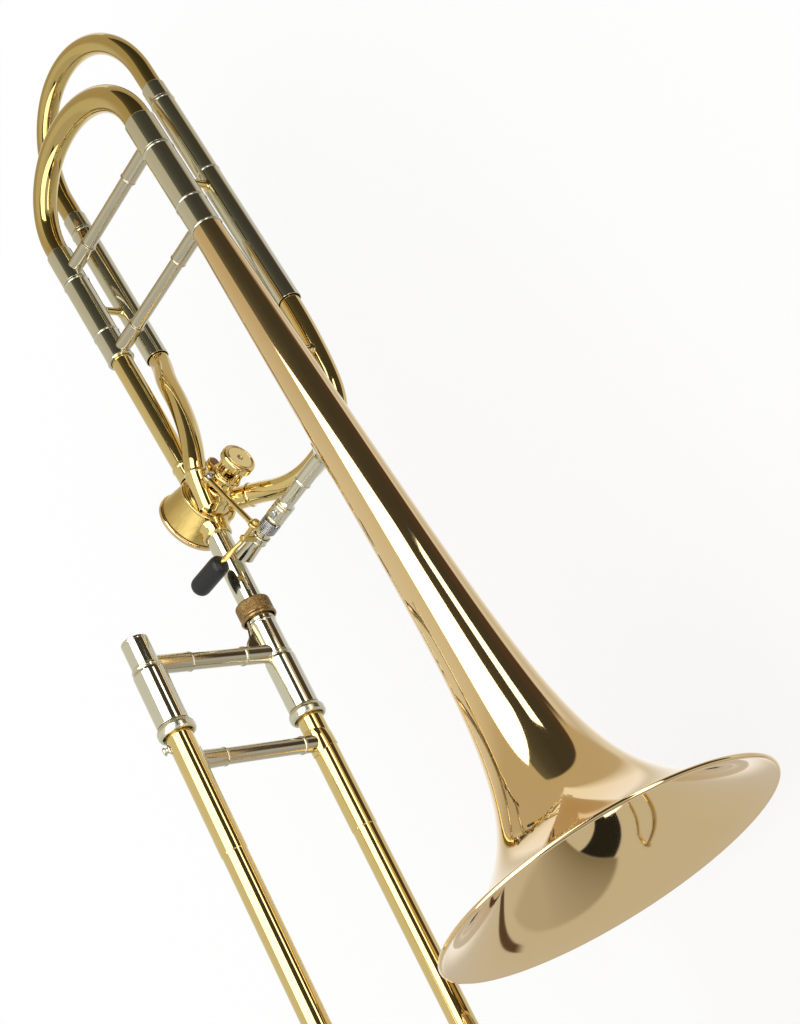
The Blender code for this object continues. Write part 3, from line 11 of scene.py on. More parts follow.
import bmesh
import bpy
import numpy as np
from mathutils import Matrix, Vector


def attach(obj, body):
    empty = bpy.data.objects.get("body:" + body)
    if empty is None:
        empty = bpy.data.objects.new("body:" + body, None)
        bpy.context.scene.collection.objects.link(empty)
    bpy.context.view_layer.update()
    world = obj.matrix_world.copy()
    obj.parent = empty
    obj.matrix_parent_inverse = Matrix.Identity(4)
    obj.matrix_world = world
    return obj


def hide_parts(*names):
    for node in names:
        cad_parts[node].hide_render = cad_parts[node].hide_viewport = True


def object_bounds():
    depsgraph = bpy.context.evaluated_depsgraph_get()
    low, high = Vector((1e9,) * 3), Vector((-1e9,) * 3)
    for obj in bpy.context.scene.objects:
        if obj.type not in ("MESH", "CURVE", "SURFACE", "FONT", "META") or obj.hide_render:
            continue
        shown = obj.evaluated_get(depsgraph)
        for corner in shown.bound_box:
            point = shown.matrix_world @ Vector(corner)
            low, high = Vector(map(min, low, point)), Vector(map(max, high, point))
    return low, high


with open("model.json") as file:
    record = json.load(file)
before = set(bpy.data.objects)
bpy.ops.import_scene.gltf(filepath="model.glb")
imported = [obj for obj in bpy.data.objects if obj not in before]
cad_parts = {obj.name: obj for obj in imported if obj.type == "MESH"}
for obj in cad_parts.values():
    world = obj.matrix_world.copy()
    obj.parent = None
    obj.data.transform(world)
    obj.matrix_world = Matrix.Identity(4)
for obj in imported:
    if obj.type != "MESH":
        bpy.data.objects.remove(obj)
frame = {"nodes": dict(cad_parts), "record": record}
CAD_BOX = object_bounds()
SLOT_OF = {part["node"]: part["material_slot"] for part in frame["record"]["subparts"]}
BODY_OF = {name: body for body, names in frame["record"]["behaviour"]["bodies"].items() for name in names}

bl_info = {
    "name": "Tenor trombone",
    "version": (1, 0, 0),
    "blender": (4, 5, 0),
    "location": "3D View > Sidebar > Trombone",
    "description": "Builds the smooth pieces, finishes and studio of a tenor trombone with an F attachment",
    "category": "Object",
}

MM = 0.001
SIDEWAYS, FORWARD, UP = np.eye(3)
TUBE_WALL = 0.0006

# Outsides in millimetres of the tubes that braces, stays and collars are fitted to
NECKPIPE = 8.25
NECK_SLEEVE, BELL_SLEEVE = 9.06, 10.62
F_SLEEVE, F_TUBE = 8.3, 7.1

# Places in millimetres along n and v that several pieces share
STOP_CORK = (-4.2, 27.0)
STOP_PIN = (12.0, 44.0)
LEVER_PIN = (14.0, 95.7)

# The water key's hole, touch and pin along the slide in metres, and how far out its seat and its pin lie
# from the tube's axis, in millimetres
KEY_HOLE, KEY_TOUCH, KEY_PIN = 0.699, 0.657, 0.684
KEY_SEAT_DROP, KEY_PIN_DROP = 12.0, 14.3

# Easing of corners: points along each, and the most of a side that it takes. The points that hold a long
# side straight lie this many millimetres beyond, and at most this share of the side
CORNER_STEPS, MOST_EASED = 5, 0.42
HOLD, MOST_HELD = 0.35, 0.06

# Distance behind the bell's rim and outer radius there, in millimetres
BELL_STATIONS = (
    (0, 107.95), (2, 101.3), (5, 93.4), (10, 83.6), (20, 69.7), (30, 59.1), (40, 50.8), (60, 39.5),
    (80, 32.6), (100, 28.4), (120, 25.7), (160, 22.25), (200, 19.8), (250, 17.6), (300, 16), (350, 14.6),
    (400, 13.4), (450, 12), (495, 10.4),
)
# Added to the distance in millimetres, so that its logarithm is even along the flare
BELL_ONSET = 12.0

# The knurl of the lock nut: ridges round it, their winding in radians per millimetre, and their height
KNURL_RIDGES, KNURL_WIND, KNURL_HEIGHT = 84, 7.2, 0.00022

# Widths in metres of the slow clouds and waves on polished metal, and heights of its waves and of belt lines
CLOUD_SIZE, WAVE_SIZE = 1 / 28, 0.011
WAVE_HEIGHT, GRAIN_HEIGHT = 0.00001, 0.000005

# The floor lies this far below the slide, clear of the bell's rim when the bell section swings down
FLOOR_GAP, FLOOR_REACH = 0.054, 6.0
# Share of the floor's look that is plain white. The rest is paint, which keeps the object's shadow
PLAIN_SHARE = 0.65

# Shades of the studio's walls, in linear light
WHITE, PALE, WARM = (1.0, 1.0, 1.0), (0.82, 0.81, 0.78), (0.76, 0.75, 0.67)
BEIGE, YELLOWED, STRAW = (0.63, 0.63, 0.61), (0.66, 0.62, 0.50), (0.56, 0.49, 0.35)
OLIVE, DUSK = (0.15, 0.145, 0.11), (0.085, 0.078, 0.055)
DARK, BROWN = (0.06, 0.055, 0.04), (0.085, 0.055, 0.038)
CLOTH_LOW, CLOTH_HIGH = (0.52, 0.51, 0.48), (0.24, 0.22, 0.17)
DOORWAY, SEAM = (0.02, 0.02, 0.018), (0.10, 0.07, 0.05)

# The lamps' tint, and each lamp's name, power and corners
LAMP_TINT = (1.0, 0.99, 0.96, 1.0)
LAMPS = (
    ("overhead_box", 3.2, ((-0.17, -0.47, 0.4), (-0.61, -0.42, 0.4), (-0.16, 0.76, 0.4), (0.3, 0.76, 0.4))),
    ("side_strip", 2.9, ((-0.5, -0.22, -0.02), (-0.5, 0.45, -0.02), (-0.5, 0.45, 0.08), (-0.5, -0.22, 0.08))),
)

# The camera: its place, its right, up and back, its lens and sensor in millimetres, and its shift
CAMERA_PLACE = (-0.8052, 0.4816, 0.7253)
CAMERA_WAYS = ((-0.5603, 0.4495, -0.6957), (-0.5439, -0.8331, -0.1002), (-0.6247, 0.3223, 0.7113))
CAMERA_LENS, CAMERA_SENSOR, CAMERA_SHIFT = 67.585, 36.0, (-0.0781, 0.2013)


def length(name, description, default):
    return bpy.props.FloatProperty(
        name=name, description=description, default=default, unit="LENGTH", subtype="DISTANCE", precision=5
    )


def angle(name, description, degrees):
    return bpy.props.FloatProperty(
        name=name, description=description, default=math.radians(degrees), unit="ROTATION", subtype="ANGLE"
    )


def colour(name, description, default):
    return bpy.props.StringProperty(name=name, description=description, default=default)


class SlideSizes(bpy.types.PropertyGroup):
    """Sizes of the hand slide."""

    spacing: length("Tube spacing", "Between the axes of the two slide tubes", 0.1005)
    receiver_radius: length("Receiver radius", "Outside of the mouthpiece receiver", 0.00865)
    barrel_radius: length("Barrel radius", "Outside of the two cork barrels", 0.0102)
    tenon_radius: length("Tenon radius", "Outside of the tenon below the lock nut", 0.0093)
    outer_radius: length("Outer tube radius", "Outside of the outer slide tubes", 0.00795)
    sleeve_radius: length("Sleeve radius", "Outside of the sleeves at the tops of the outer tubes", 0.0083)
    brace_radius: length("Brace radius", "Thickness of the inner slide's brace, halved", 0.0055)
    outer_brace_radius: length("Outer brace radius", "Thickness of the outer slide's brace, halved", 0.0052)
    outer_brace_place: length("Outer brace place", "How far forward the outer brace stands", 0.0673)
    bow_centre: length("Bow centre", "Where the bow's bend starts", 0.690)
    bow_radius: length("Bow tube radius", "Outside of the bow's tube", 0.0087)
    stud_turn: angle("Lock stud turn", "How far the lock stud is turned round the upper tube", 40.0)


class BellSizes(bpy.types.PropertyGroup):
    """Sizes and lie of the bell section."""

    swing: angle("Swing", "Turn of the bell section about the neckpipe", 3.30)
    spread: angle("Spread", "How far the bell points away from the slide", 3.84)
    lean: angle("Lean", "How far the bell section leans back", 0.40)
    origin: length("Origin", "Where the section's own frame stands on the neckpipe's axis", -0.160)
    offset: length("Bell offset", "Between the neckpipe's axis and the bell's", 0.118)
    rim: length("Rim", "How far forward the bell's rim lies in its section", 0.4160)
    tail: length("Tail", "Where the bell's narrow end enters its sleeve", -0.0818)
    wall: length("Wall", "Thickness of the bell's sheet", 0.0007)
    wire: length("Rim wire radius", "Radius of the roll at the rim", 0.0015)
    crook_centre: length("Main crook centre", "Where the main crook's bend starts", -0.187)
    f_drop: length("F tubing drop", "How far the F tubing lies behind the main tubing", -0.032)
    f_shift: length("F tubing shift", "Sideways offset of the F tubing", 0.0015)
    f_crook_centre: length("F crook centre", "Where the F crook's bend starts", -0.239)
    valve: length("Valve place", "Where the rotary valve's axis lies", 0.045)
    brace: length("Bell brace place", "Where the bell brace lies", 0.095)


class Finishes(bpy.types.PropertyGroup):
    """Base colours, as sRGB hex."""

    brass: colour("Yellow brass", "Lacquered yellow brass of the valve, tubes and outer slide", "#E7CE8B")
    # A darker copy of the yellow brass: painted shade for the dimmer room that the crooks and the drum mirror
    shade_darkened_brass: colour("Deep brass", "Brass of the two crooks and the drum, a little deeper", "#CFB46E")
    rose_brass: colour("Rose brass", "Lacquered rose brass of the bell", "#F0D29E")
    nickel: colour("Nickel silver", "Nickel silver of the sleeves, ferrules and braces", "#DEDAC6")
    drawn_nickel: colour("Drawn nickel silver", "Nickel silver of the slide braces, less polished", "#CDC4AB")
    chrome: colour("Chrome", "Chromed inner slide tubes", "#D9DADB")
    bronze: colour("Bronze", "Knurled lock nut", "#C4A26E")
    steel: colour("Steel", "Springs, pins and screws", "#B9BABD")
    rubber: colour("Rubber", "Thumb sleeve and bow bumper", "#1B1B1C")
    cork: colour("Cork", "Stop bumper and corks", "#9A6A40")


def linear(hex_colour):
    """sRGB hex to linear light."""
    digits = hex_colour.lstrip("#")
    shares = np.array([int(digits[i : i + 2], 16) for i in (0, 2, 4)]) / 255
    bright = ((shares + 0.055) / 1.055) ** 2.4
    return (*np.where(shares <= 0.04045, shares / 12.92, bright).tolist(), 1.0)


def node(tree, kind, inputs=None, **settings):
    """Adds a node with its settings, and fills or links its sockets."""
    made = tree.nodes.new(kind)
    for key, value in settings.items():
        setattr(made, key, value)
    for key, value in (inputs or {}).items():
        if isinstance(value, bpy.types.NodeSocket):
            tree.links.new(value, made.inputs[key])
        else:
            made.inputs[key].default_value = value
    return made


def maths(tree, operation, first, second):
    """Adds one step of arithmetic."""
    return node(tree, "ShaderNodeMath", {0: first, 1: second}, operation=operation).outputs[0]


def remap(tree, value, low, high, to_low=0.0, to_high=1.0, **settings):
    """Takes the span from low to high to another span, and holds its ends."""
    inputs = {"Value": value, "From Min": low, "From Max": high, "To Min": to_low, "To Max": to_high}
    return node(tree, "ShaderNodeMapRange", inputs, **settings).outputs["Result"]


def blend(tree, share, here, there):
    """Mixes two colours: the first where the share is 0, the second where it is 1."""
    inputs = {"Factor": share, "A": here, "B": there}
    return node(tree, "ShaderNodeMix", inputs, data_type="RGBA").outputs["Result"]


def noise(tree, place, size, detail, roughness=0.5):
    """Noise whose cells are about as wide as size, in metres."""
    inputs = {"Vector": place, "Scale": 1 / size, "Detail": detail, "Roughness": roughness}
    return node(tree, "ShaderNodeTexNoise", inputs).outputs["Fac"]


def tinted(tree, share, hex_colour, contrast):
    """The colour, darker by the contrast where the share is 0."""
    base = linear(hex_colour)
    return blend(tree, share, (*((1 - contrast) * channel for channel in base[:3]), 1.0), base)


def gloss(tree, share, roughness, haze):
    """Roughness that rises by the haze from the share's troughs to its peaks."""
    return remap(tree, share, 0.3, 0.7, roughness, roughness + haze)


def new_material(name):
    """An empty material, its tree and the object's own coordinates."""
    material = bpy.data.materials.new(name)
    material.use_nodes = True
    tree = material.node_tree
    tree.nodes.clear()
    return material, tree, node(tree, "ShaderNodeTexCoord").outputs["Object"]


def surface(tree, inputs, relief, height, strength=1.0):
    """Ends a material with a shader whose surface is raised by the relief."""
    bump = node(tree, "ShaderNodeBump", {"Height": relief, "Strength": strength, "Distance": height})
    shader = node(tree, "ShaderNodeBsdfPrincipled", {**inputs, "Normal": bump.outputs["Normal"]})
    node(tree, "ShaderNodeOutputMaterial", {"Surface": shader.outputs["BSDF"]})


def polished_metal(name, hex_colour, roughness, coat, haze=0.02):
    """Metal buffed to a mirror. Slow clouds some centimetres wide vary its colour by a few hundredths
    and its gloss, as lacquer does, and hand buffing leaves waves that bend what it mirrors a little."""
    material, tree, place = new_material(name)
    clouds = noise(tree, place, CLOUD_SIZE, 2.0)
    inputs = {
        "Base Color": tinted(tree, clouds, hex_colour, 0.06),
        "Metallic": 1.0,
        "Roughness": gloss(tree, clouds, roughness, haze),
        "Coat Weight": coat,
        "Coat Roughness": 0.02,
    }
    surface(tree, inputs, noise(tree, place, WAVE_SIZE, 1.0), WAVE_HEIGHT)
    return material


def satin_metal(name, hex_colour, roughness, stretch, grain=0.0016, contrast=0.07):
    """Metal finished with a fine belt: short-range lines, drawn out where stretch is small, in its colour,
    its gloss and its relief. Lines nearer than grain, in metres, would be too fine to show."""
    material, tree, place = new_material(name)
    drawn = node(tree, "ShaderNodeVectorMath", {0: place, 1: stretch}, operation="MULTIPLY").outputs["Vector"]
    lines = noise(tree, drawn, grain, 1.0)
    inputs = {
        "Base Color": tinted(tree, lines, hex_colour, contrast),
        "Metallic": 1.0,
        "Roughness": gloss(tree, lines, roughness, 0.1),
    }
    surface(tree, inputs, lines, GRAIN_HEIGHT)
    return material


def soft_finish(name, hex_colour, roughness, grain, height, contrast):
    """Rubber or cork: a grain of a given size in metres, seen in its colour and its relief."""
    material, tree, place = new_material(name)
    speck = noise(tree, place, grain, 4.0, 0.6)
    inputs = {"Base Color": tinted(tree, speck, hex_colour, contrast), "Roughness": roughness}
    surface(tree, inputs, speck, height, 0.5)
    return material


LOOKS = {}


def make_finishes(colours):
    """Every finish, by the record's slot name or by a name of its own."""
    # Clear lacquer over buffed brass: a warm mirror with a thin clear coat, redder on the bell. The crooks'
    # copy
    # is darker: painted shade for the dimmer room that they mirror
    for look, name, base in (
        ("lacquered_brass", "clear_lacquered_yellow_brass", colours.brass),
        ("shade_darkened_brass", "clear_lacquered_brass_with_painted_shade", colours.shade_darkened_brass),
        ("gold_brass", "clear_lacquered_rose_brass", colours.rose_brass),
    ):
        LOOKS[look] = polished_metal(name, base, 0.045, 0.35)
    # Bare nickel silver: warm grey, a little hazier than lacquered brass
    LOOKS["nickel_silver"] = polished_metal("buffed_nickel_silver", colours.nickel, 0.06, 0.0, 0.04)
    # Hard chrome: a cold, even mirror
    LOOKS["chromed_steel"] = polished_metal("hard_chrome_plate", colours.chrome, 0.05, 0.0)
    # Spring wire and screws: grey steel with a dull, uneven shine
    LOOKS["steel"] = polished_metal("drawn_spring_steel", colours.steel, 0.22, 0.0, 0.1)
    # Belt lines down the drum's cone, which spread its light. Its colour is the crooks' darkened brass, with
    # the same painted shade
    LOOKS["satin_brass"] = satin_metal("belt_finished_brass", colours.shade_darkened_brass, 0.32, (0.04, 1.0, 1.0))
    # Lines round the slide's flared ends, which spread their light along the tube
    LOOKS["satin_nickel"] = satin_metal("belt_finished_nickel_silver", colours.nickel, 0.2, (0.05, 1.0, 0.05))
    # Faint lines round the drawn braces, which dim and soften what they mirror
    LOOKS["drawn_nickel"] = satin_metal(
        "drawn_nickel_silver_rod", colours.drawn_nickel, 0.1, (0.05, 1.0, 0.05)
    )
    # Fine specks about a millimetre wide darken the bronze by up to three quarters
    LOOKS["bronze"] = satin_metal(
        "knurled_phosphor_bronze", colours.bronze, 0.26, (1.0, 1.0, 1.0), 0.0011, 0.75
    )
    # Moulded rubber: matt, with a fine bloom
    LOOKS["black_rubber"] = soft_finish("moulded_black_rubber", colours.rubber, 0.42, 0.0006, 0.00003, 0.3)
    # Sheet cork: millimetre cells with darker seams
    LOOKS["cork"] = soft_finish("sheet_cork", colours.cork, 0.85, 0.0014, 0.0002, 0.6)


def grid_faces(points, round_route, first):
    """Quads of a grid whose rows close on themselves, numbered from first."""
    rows, sides = points.shape[:2]
    starts = np.arange(rows if round_route else rows - 1)[:, None] * sides
    after = (starts + sides) % (rows * sides)
    here = np.arange(sides)[None, :]
    there = (here + 1) % sides
    faces = np.stack((starts + here, starts + there, after + there, after + here), axis=-1)
    return faces.reshape(-1, 4) + first


def grid_mesh(name, *grids, round_route=False, sharp=40.0):
    """A mesh of one or more grids of points: rows follow the profile, and each row closes on itself.

    With round_route the last row joins the first. Rows that shrink to a point become a pole.
    """
    firsts = np.cumsum([0] + [grid.shape[0] * grid.shape[1] for grid in grids])
    faces = np.concatenate([grid_faces(grid, round_route, first) for grid, first in zip(grids, firsts)])
    mesh = bpy.data.meshes.new(name)
    mesh.from_pydata(np.concatenate([grid.reshape(-1, 3) for grid in grids]), [], faces)
    tidy_up = bmesh.new()
    tidy_up.from_mesh(mesh)
    bmesh.ops.remove_doubles(tidy_up, verts=tidy_up.verts, dist=2e-7)
    bmesh.ops.recalc_face_normals(tidy_up, faces=tidy_up.faces)
    tidy_up.to_mesh(mesh)
    tidy_up.free()
    mesh.shade_smooth()
    mesh.set_sharp_from_angle(angle=math.radians(sharp))
    return mesh


def place_piece(mesh, replaced=None, body=None, slot=None, look=None):
    """Puts a finished mesh in the scene. It takes its body and slot from the CAD node that it stands for,
    unless they are given, and its finish from the slot, unless a look is given."""
    slot = slot or SLOT_OF[replaced]
    piece = bpy.data.objects.new(mesh.name, mesh)
    bpy.context.scene.collection.objects.link(piece)
    mesh.materials.append(LOOKS[look or slot])
    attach(piece, body or BODY_OF[replaced])
    if replaced:
        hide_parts(replaced)


def in_mm(sizes, *names):
    """Some of a group's sizes, in millimetres."""
    return [getattr(sizes, name) / MM for name in names]


def circle(count):
    """Evenly spread turns round a circle, in radians."""
    return np.linspace(0, 2 * np.pi, count, endpoint=False)


def rounded(outline, radius=0.25, closed=False):
    """An outline in millimetres with its corners eased, then turned to metres.

    Each corner gives way to the curve (1-t)^2 a + 2t(1-t) corner + t^2 b, where a and b lie a given
    way back along its two sides. A point just beyond each end of the curve keeps long sides straight.
    """
    outline = np.asarray(outline, float)
    ends = []
    for step in (1, -1):
        side = np.roll(outline, step, axis=0) - outline
        size = np.linalg.norm(side, axis=1)[:, None]
        end = outline + np.minimum(radius, MOST_EASED * size) * side / size
        ends.append((end[:, None], (end + np.minimum(HOLD, MOST_HELD * size) * side / size)[:, None]))
    (a, first), (b, last) = ends
    t = np.linspace(0, 1, CORNER_STEPS)[None, :, None]
    curve = (1 - t) ** 2 * a + 2 * t * (1 - t) * outline[:, None] + t**2 * b
    eased = np.concatenate((first, curve, last), axis=1)
    if closed:
        return eased.reshape(-1, 2) * MM
    return np.concatenate((outline[:1], eased[1:-1].reshape(-1, 2), outline[-1:])) * MM


def across(along):
    """A direction as a unit, and two more square to it."""
    along = np.asarray(along, float) / np.linalg.norm(along)
    side = np.cross(UP if abs(along @ UP) < 0.9 else SIDEWAYS, along)
    side /= np.linalg.norm(side)
    return along, side, np.cross(along, side)


def revolve(outline, start, along, sides=96):
    """Surface of revolution: start + a * along + r * (cos t * side + sin t * up)."""
    along, side, up = across(along)
    turn = circle(sides)[:, None]
    ring = np.cos(turn) * side + np.sin(turn) * up
    middle = np.asarray(start, float) + outline[:, :1] * along
    return middle[:, None] + outline[:, 1][:, None, None] * ring[None]


def ring_grid(outline, start, along, corner=0.25, sides=64):
    """A closed ring about an axis, as a grid whose last row meets its first."""
    points = revolve(rounded(outline, corner, closed=True), start, along, sides)
    return np.concatenate((points, points[:1]))


def turned(name, outline, start, along, replaced=None, corner=0.25, sides=96, **placing):
    """A turned piece from an outline of (along, radius) in millimetres.

    An outline that begins and ends off the axis is a ring and closes on itself.
    """
    ring = outline[0][1] > 0 and outline[-1][1] > 0
    points = revolve(rounded(outline, corner, closed=ring), start, along, sides)
    place_piece(grid_mesh(name, points, round_route=ring), replaced, **placing)


def sweep(route, radius, guide, sides=48, thickness=None):
    """Tube along a route: route + a cos t * side + b sin t * up, where side is the guide direction
    made square to the route, so the tube doesn't twist, and b is the thickness or else a too."""
    route = np.asarray(route, float)
    ahead = np.gradient(route, axis=0)
    ahead /= np.linalg.norm(ahead, axis=1)[:, None]
    guide = np.asarray(guide, float)
    side = guide - (ahead @ guide)[:, None] * ahead
    side /= np.linalg.norm(side, axis=1)[:, None]
    up = np.cross(ahead, side)
    turn = circle(sides)[None, :, None]
    wide, deep = (
        np.broadcast_to(np.asarray(size, float), len(route))[:, None, None]
        for size in (radius, radius if thickness is None else thickness)
    )
    return route[:, None] + wide * np.cos(turn) * side[:, None] + deep * np.sin(turn) * up[:, None]


def capped(grid):
    """A grid closed by a pole at each end."""
    first, last = (np.broadcast_to(row.mean(axis=0), grid[:1].shape) for row in (grid[0], grid[-1]))
    return np.concatenate((first, grid, last))


def tube(name, route, radius, guide, replaced, sides=56, look=None):
    """An open tube with a thin wall along a route."""
    outer, inner = (sweep(route, np.asarray(radius) - wall, guide, sides) for wall in (0, TUBE_WALL))
    mesh = grid_mesh(name, np.concatenate((outer, inner[::-1])), round_route=True)
    place_piece(mesh, replaced, look=look)


def slab(outline, low, high, ease=0.25):
    """A flat plate: an outline in two axes, in millimetres, from low to high along the third, with its
    edges eased by drawing the outline in towards its middle."""
    outline = np.asarray(outline, float)
    middle = outline.mean(axis=0)
    share = 1 - ease / np.linalg.norm(outline - middle, axis=1).min()
    rows = ((low, share), (low + 0.3 * ease, 0.5 + share / 2), (low + ease, 1.0))
    rows += ((high - ease, 1.0), (high - 0.3 * ease, 0.5 + share / 2), (high, share))
    flat = [
        np.column_stack((np.full(len(outline), place), middle + size * (outline - middle)))
        for place, size in rows
    ]
    return capped(np.array(flat))


def hull(circles, count=72):
    """Outline of the convex hull of circles (x, y, radius): its point with normal d is the largest
    centre . d + radius, which is centre + radius * d."""
    turn = circle(count)
    ways = np.stack((np.cos(turn), np.sin(turn)), axis=1)
    circles = np.asarray(circles, float)
    best = np.argmax(ways @ circles[:, :2].T + circles[:, 2], axis=1)
    return circles[best, :2] + circles[best, 2:] * ways


def curve_through(stations, count):
    """Points evenly spread along a natural cubic spline through the stations.

    Its second derivatives solve the usual three-term equations, with none at the two ends.
    """
    stations = np.asarray(stations, float)
    steps = np.linalg.norm(np.diff(stations, axis=0), axis=1)
    knots = np.concatenate(((0.0,), np.cumsum(steps)))
    inner = len(stations) - 2
    system = np.zeros((inner + 2, inner + 2))
    system[0, 0] = system[-1, -1] = 1.0
    rows = np.arange(1, inner + 1)
    system[rows, rows - 1] = steps[:-1]
    system[rows, rows] = 2 * (steps[:-1] + steps[1:])
    system[rows, rows + 1] = steps[1:]
    slopes = np.diff(stations, axis=0) / steps[:, None]
    known = np.zeros_like(stations)
    known[1:-1] = 6 * np.diff(slopes, axis=0)
    bend = np.linalg.solve(system, known)
    where = np.linspace(0, knots[-1], count)
    k = np.clip(np.searchsorted(knots, where) - 1, 0, inner)
    span = steps[k][:, None]
    on = (where - knots[k])[:, None] / span
    off = 1 - on
    straight = off * stations[k] + on * stations[k + 1]
    return straight + span**2 / 6 * ((off**3 - off) * bend[k] + (on**3 - on) * bend[k + 1])


def smooth_step(value, low, high):
    """0 below low, 1 above high, and 3t^2 - 2t^3 between them."""
    share = np.clip((value - low) / (high - low), 0, 1)
    return share * share * (3 - 2 * share)


def saddled(name, outline, start, along, tube_way, near, far, replaced, stretch=1.0, sides=96, look=None):
    """A round brace whose two feet are bent round the tubes that they stand on.

    near and far are (distance along the brace of the tube's axis, tube radius) in millimetres. A point
    at y across the tube is moved by sqrt(R^2 - y^2) - R, which fades away 5 mm above the tube. The
    stretch draws the far foot out along its tube.
    """
    along = np.asarray(along, float) / np.linalg.norm(along)
    tube_way = tube_way - (tube_way @ along) * along
    tube_way /= np.linalg.norm(tube_way)
    side = np.cross(along, tube_way)
    eased = rounded(outline, 0.35) / MM
    turn = circle(sides)[None, :]
    height, radius = eased[:, :1], eased[:, 1:]
    x = radius * np.cos(turn)
    y = radius * np.sin(turn)
    z = height + np.zeros_like(x)
    for axis, tube_radius, way, drawn in ((*near, 1, 1.0), (*far, -1, stretch)):
        above = way * (height - axis) - tube_radius
        dip = np.sqrt(np.maximum(tube_radius**2 - y**2, 0)) - tube_radius
        z = z + way * (1 - smooth_step(above, 0.8, 5.0)) * dip
        x = x * (1 + (drawn - 1) * (1 - smooth_step(above, 0.4, 1.6)))
    points = start + MM * (x[..., None] * tube_way + y[..., None] * side + z[..., None] * along)
    place_piece(grid_mesh(name, points), replaced, look=look)


def beads(start, end, radius, rings, width=1.3, height=0.45):
    """Edge of a tube in millimetres, with a rounded ring at each place."""
    edge = [(start, radius)]
    for place in sorted(rings):
        for share, rise in ((-0.5, 0), (-0.25, height), (0.25, height), (0.5, 0)):
            edge.append((place + share * width, radius + rise))
    return [*edge, (end, radius)]


def socketed(low, high, low_ring, high_ring, socket, rod):
    """Outline of a brace in millimetres: a rod between two wider sockets, each with a ring at its mouth."""
    ring = socket + 0.35
    return [
        (low - 0.3, 0.0), (low - 0.3, socket), (low_ring - 1.1, socket), (low_ring - 0.8, ring),
        (low_ring + 0.1, ring), (low_ring + 0.5, rod), (high_ring - 0.5, rod), (high_ring - 0.1, ring),
        (high_ring + 0.8, ring), (high_ring + 1.1, socket), (high + 0.3, socket), (high + 0.3, 0.0),
    ]


def section_turn():
    """How the bell section lies in the scene: leant back, spread from the slide, then swung about it."""
    sizes = bpy.context.scene.bell_sizes
    return np.array(
        Matrix.Rotation(-sizes.swing, 3, "Y")
        @ Matrix.Rotation(sizes.spread, 3, "Z")
        @ Matrix.Rotation(-sizes.lean, 3, "X")
    )


def section_way(e, n, v):
    """A direction or step along e, n and v, as one in the scene."""
    return section_turn() @ np.array((-e, v, n), float)


def section_ways():
    """The section's three directions: out to the bell, up, and forward."""
    return [section_way(*way) for way in np.eye(3)]


def in_section(e, n, v):
    """A place in the bell section, given in millimetres along e, n and v."""
    scene = bpy.context.scene
    origin = np.array((0.0, scene.bell_sizes.origin, -scene.slide_sizes.spacing / 2))
    return origin + section_way(e * MM, n * MM, v * MM)


def section_points(points):
    """Grid points given along e, n and v in millimetres, as places in the scene."""
    swapped = np.asarray(points)[..., (0, 2, 1)] * (-MM, MM, MM)
    return in_section(0, 0, 0) + swapped @ section_turn().T


def crook(centre, drop, shift, depth, start):
    """Route of a crook's half ellipse from the neckpipe's side to the bell's, with a short straight end."""
    offset = bpy.context.scene.bell_sizes.offset / MM
    half = offset / 2
    bend = [
        in_section(shift + half - half * math.cos(t), drop, centre - depth * half * math.sin(t))
        for t in np.linspace(0, np.pi, 110)
    ]
    return np.array([in_section(shift, drop, start), *bend, in_section(shift + offset, drop, start)])


def ferruled(route, ferrule):
    """Radius in metres along a route of F tubing, whose last millimetres are a wider ferrule with a bead."""
    steps = np.linalg.norm(np.diff(route, axis=0), axis=1)[::-1] / MM
    left = np.concatenate((np.cumsum(steps)[::-1], (0.0,)))
    wide = 1 - smooth_step(left, ferrule - 0.2, ferrule + 0.4)
    bead = np.exp(-(((left - ferrule) / 0.7) ** 2))
    return (F_TUBE + 0.45 * wide + 0.6 * bead) * MM


def bell_outer(distance):
    """Outer radius of the bell in millimetres at a distance behind its rim.

    The radius is e to the power of a polynomial in the logarithm of the distance plus 12 mm, fitted
    to a few measured radii, so the flare has no ripple.
    """
    places, radii = np.array(BELL_STATIONS).T
    fit = np.polyfit(np.log(places + BELL_ONSET), np.log(radii), 7)
    return np.exp(np.polyval(fit, np.log(np.asarray(distance, float) + BELL_ONSET)))


class TROMBONE_OT_finishes(bpy.types.Operator):
    """Makes every finish and gives it to the CAD nodes of its slot"""

    bl_idname = "trombone.finishes"
    bl_label = "Finishes"

    def execute(self, context):
        make_finishes(context.scene.finishes)
        for name, slot in SLOT_OF.items():
            mesh = frame["nodes"][name].data
            mesh.materials.clear()
            mesh.materials.append(LOOKS[slot])
        return {"FINISHED"}


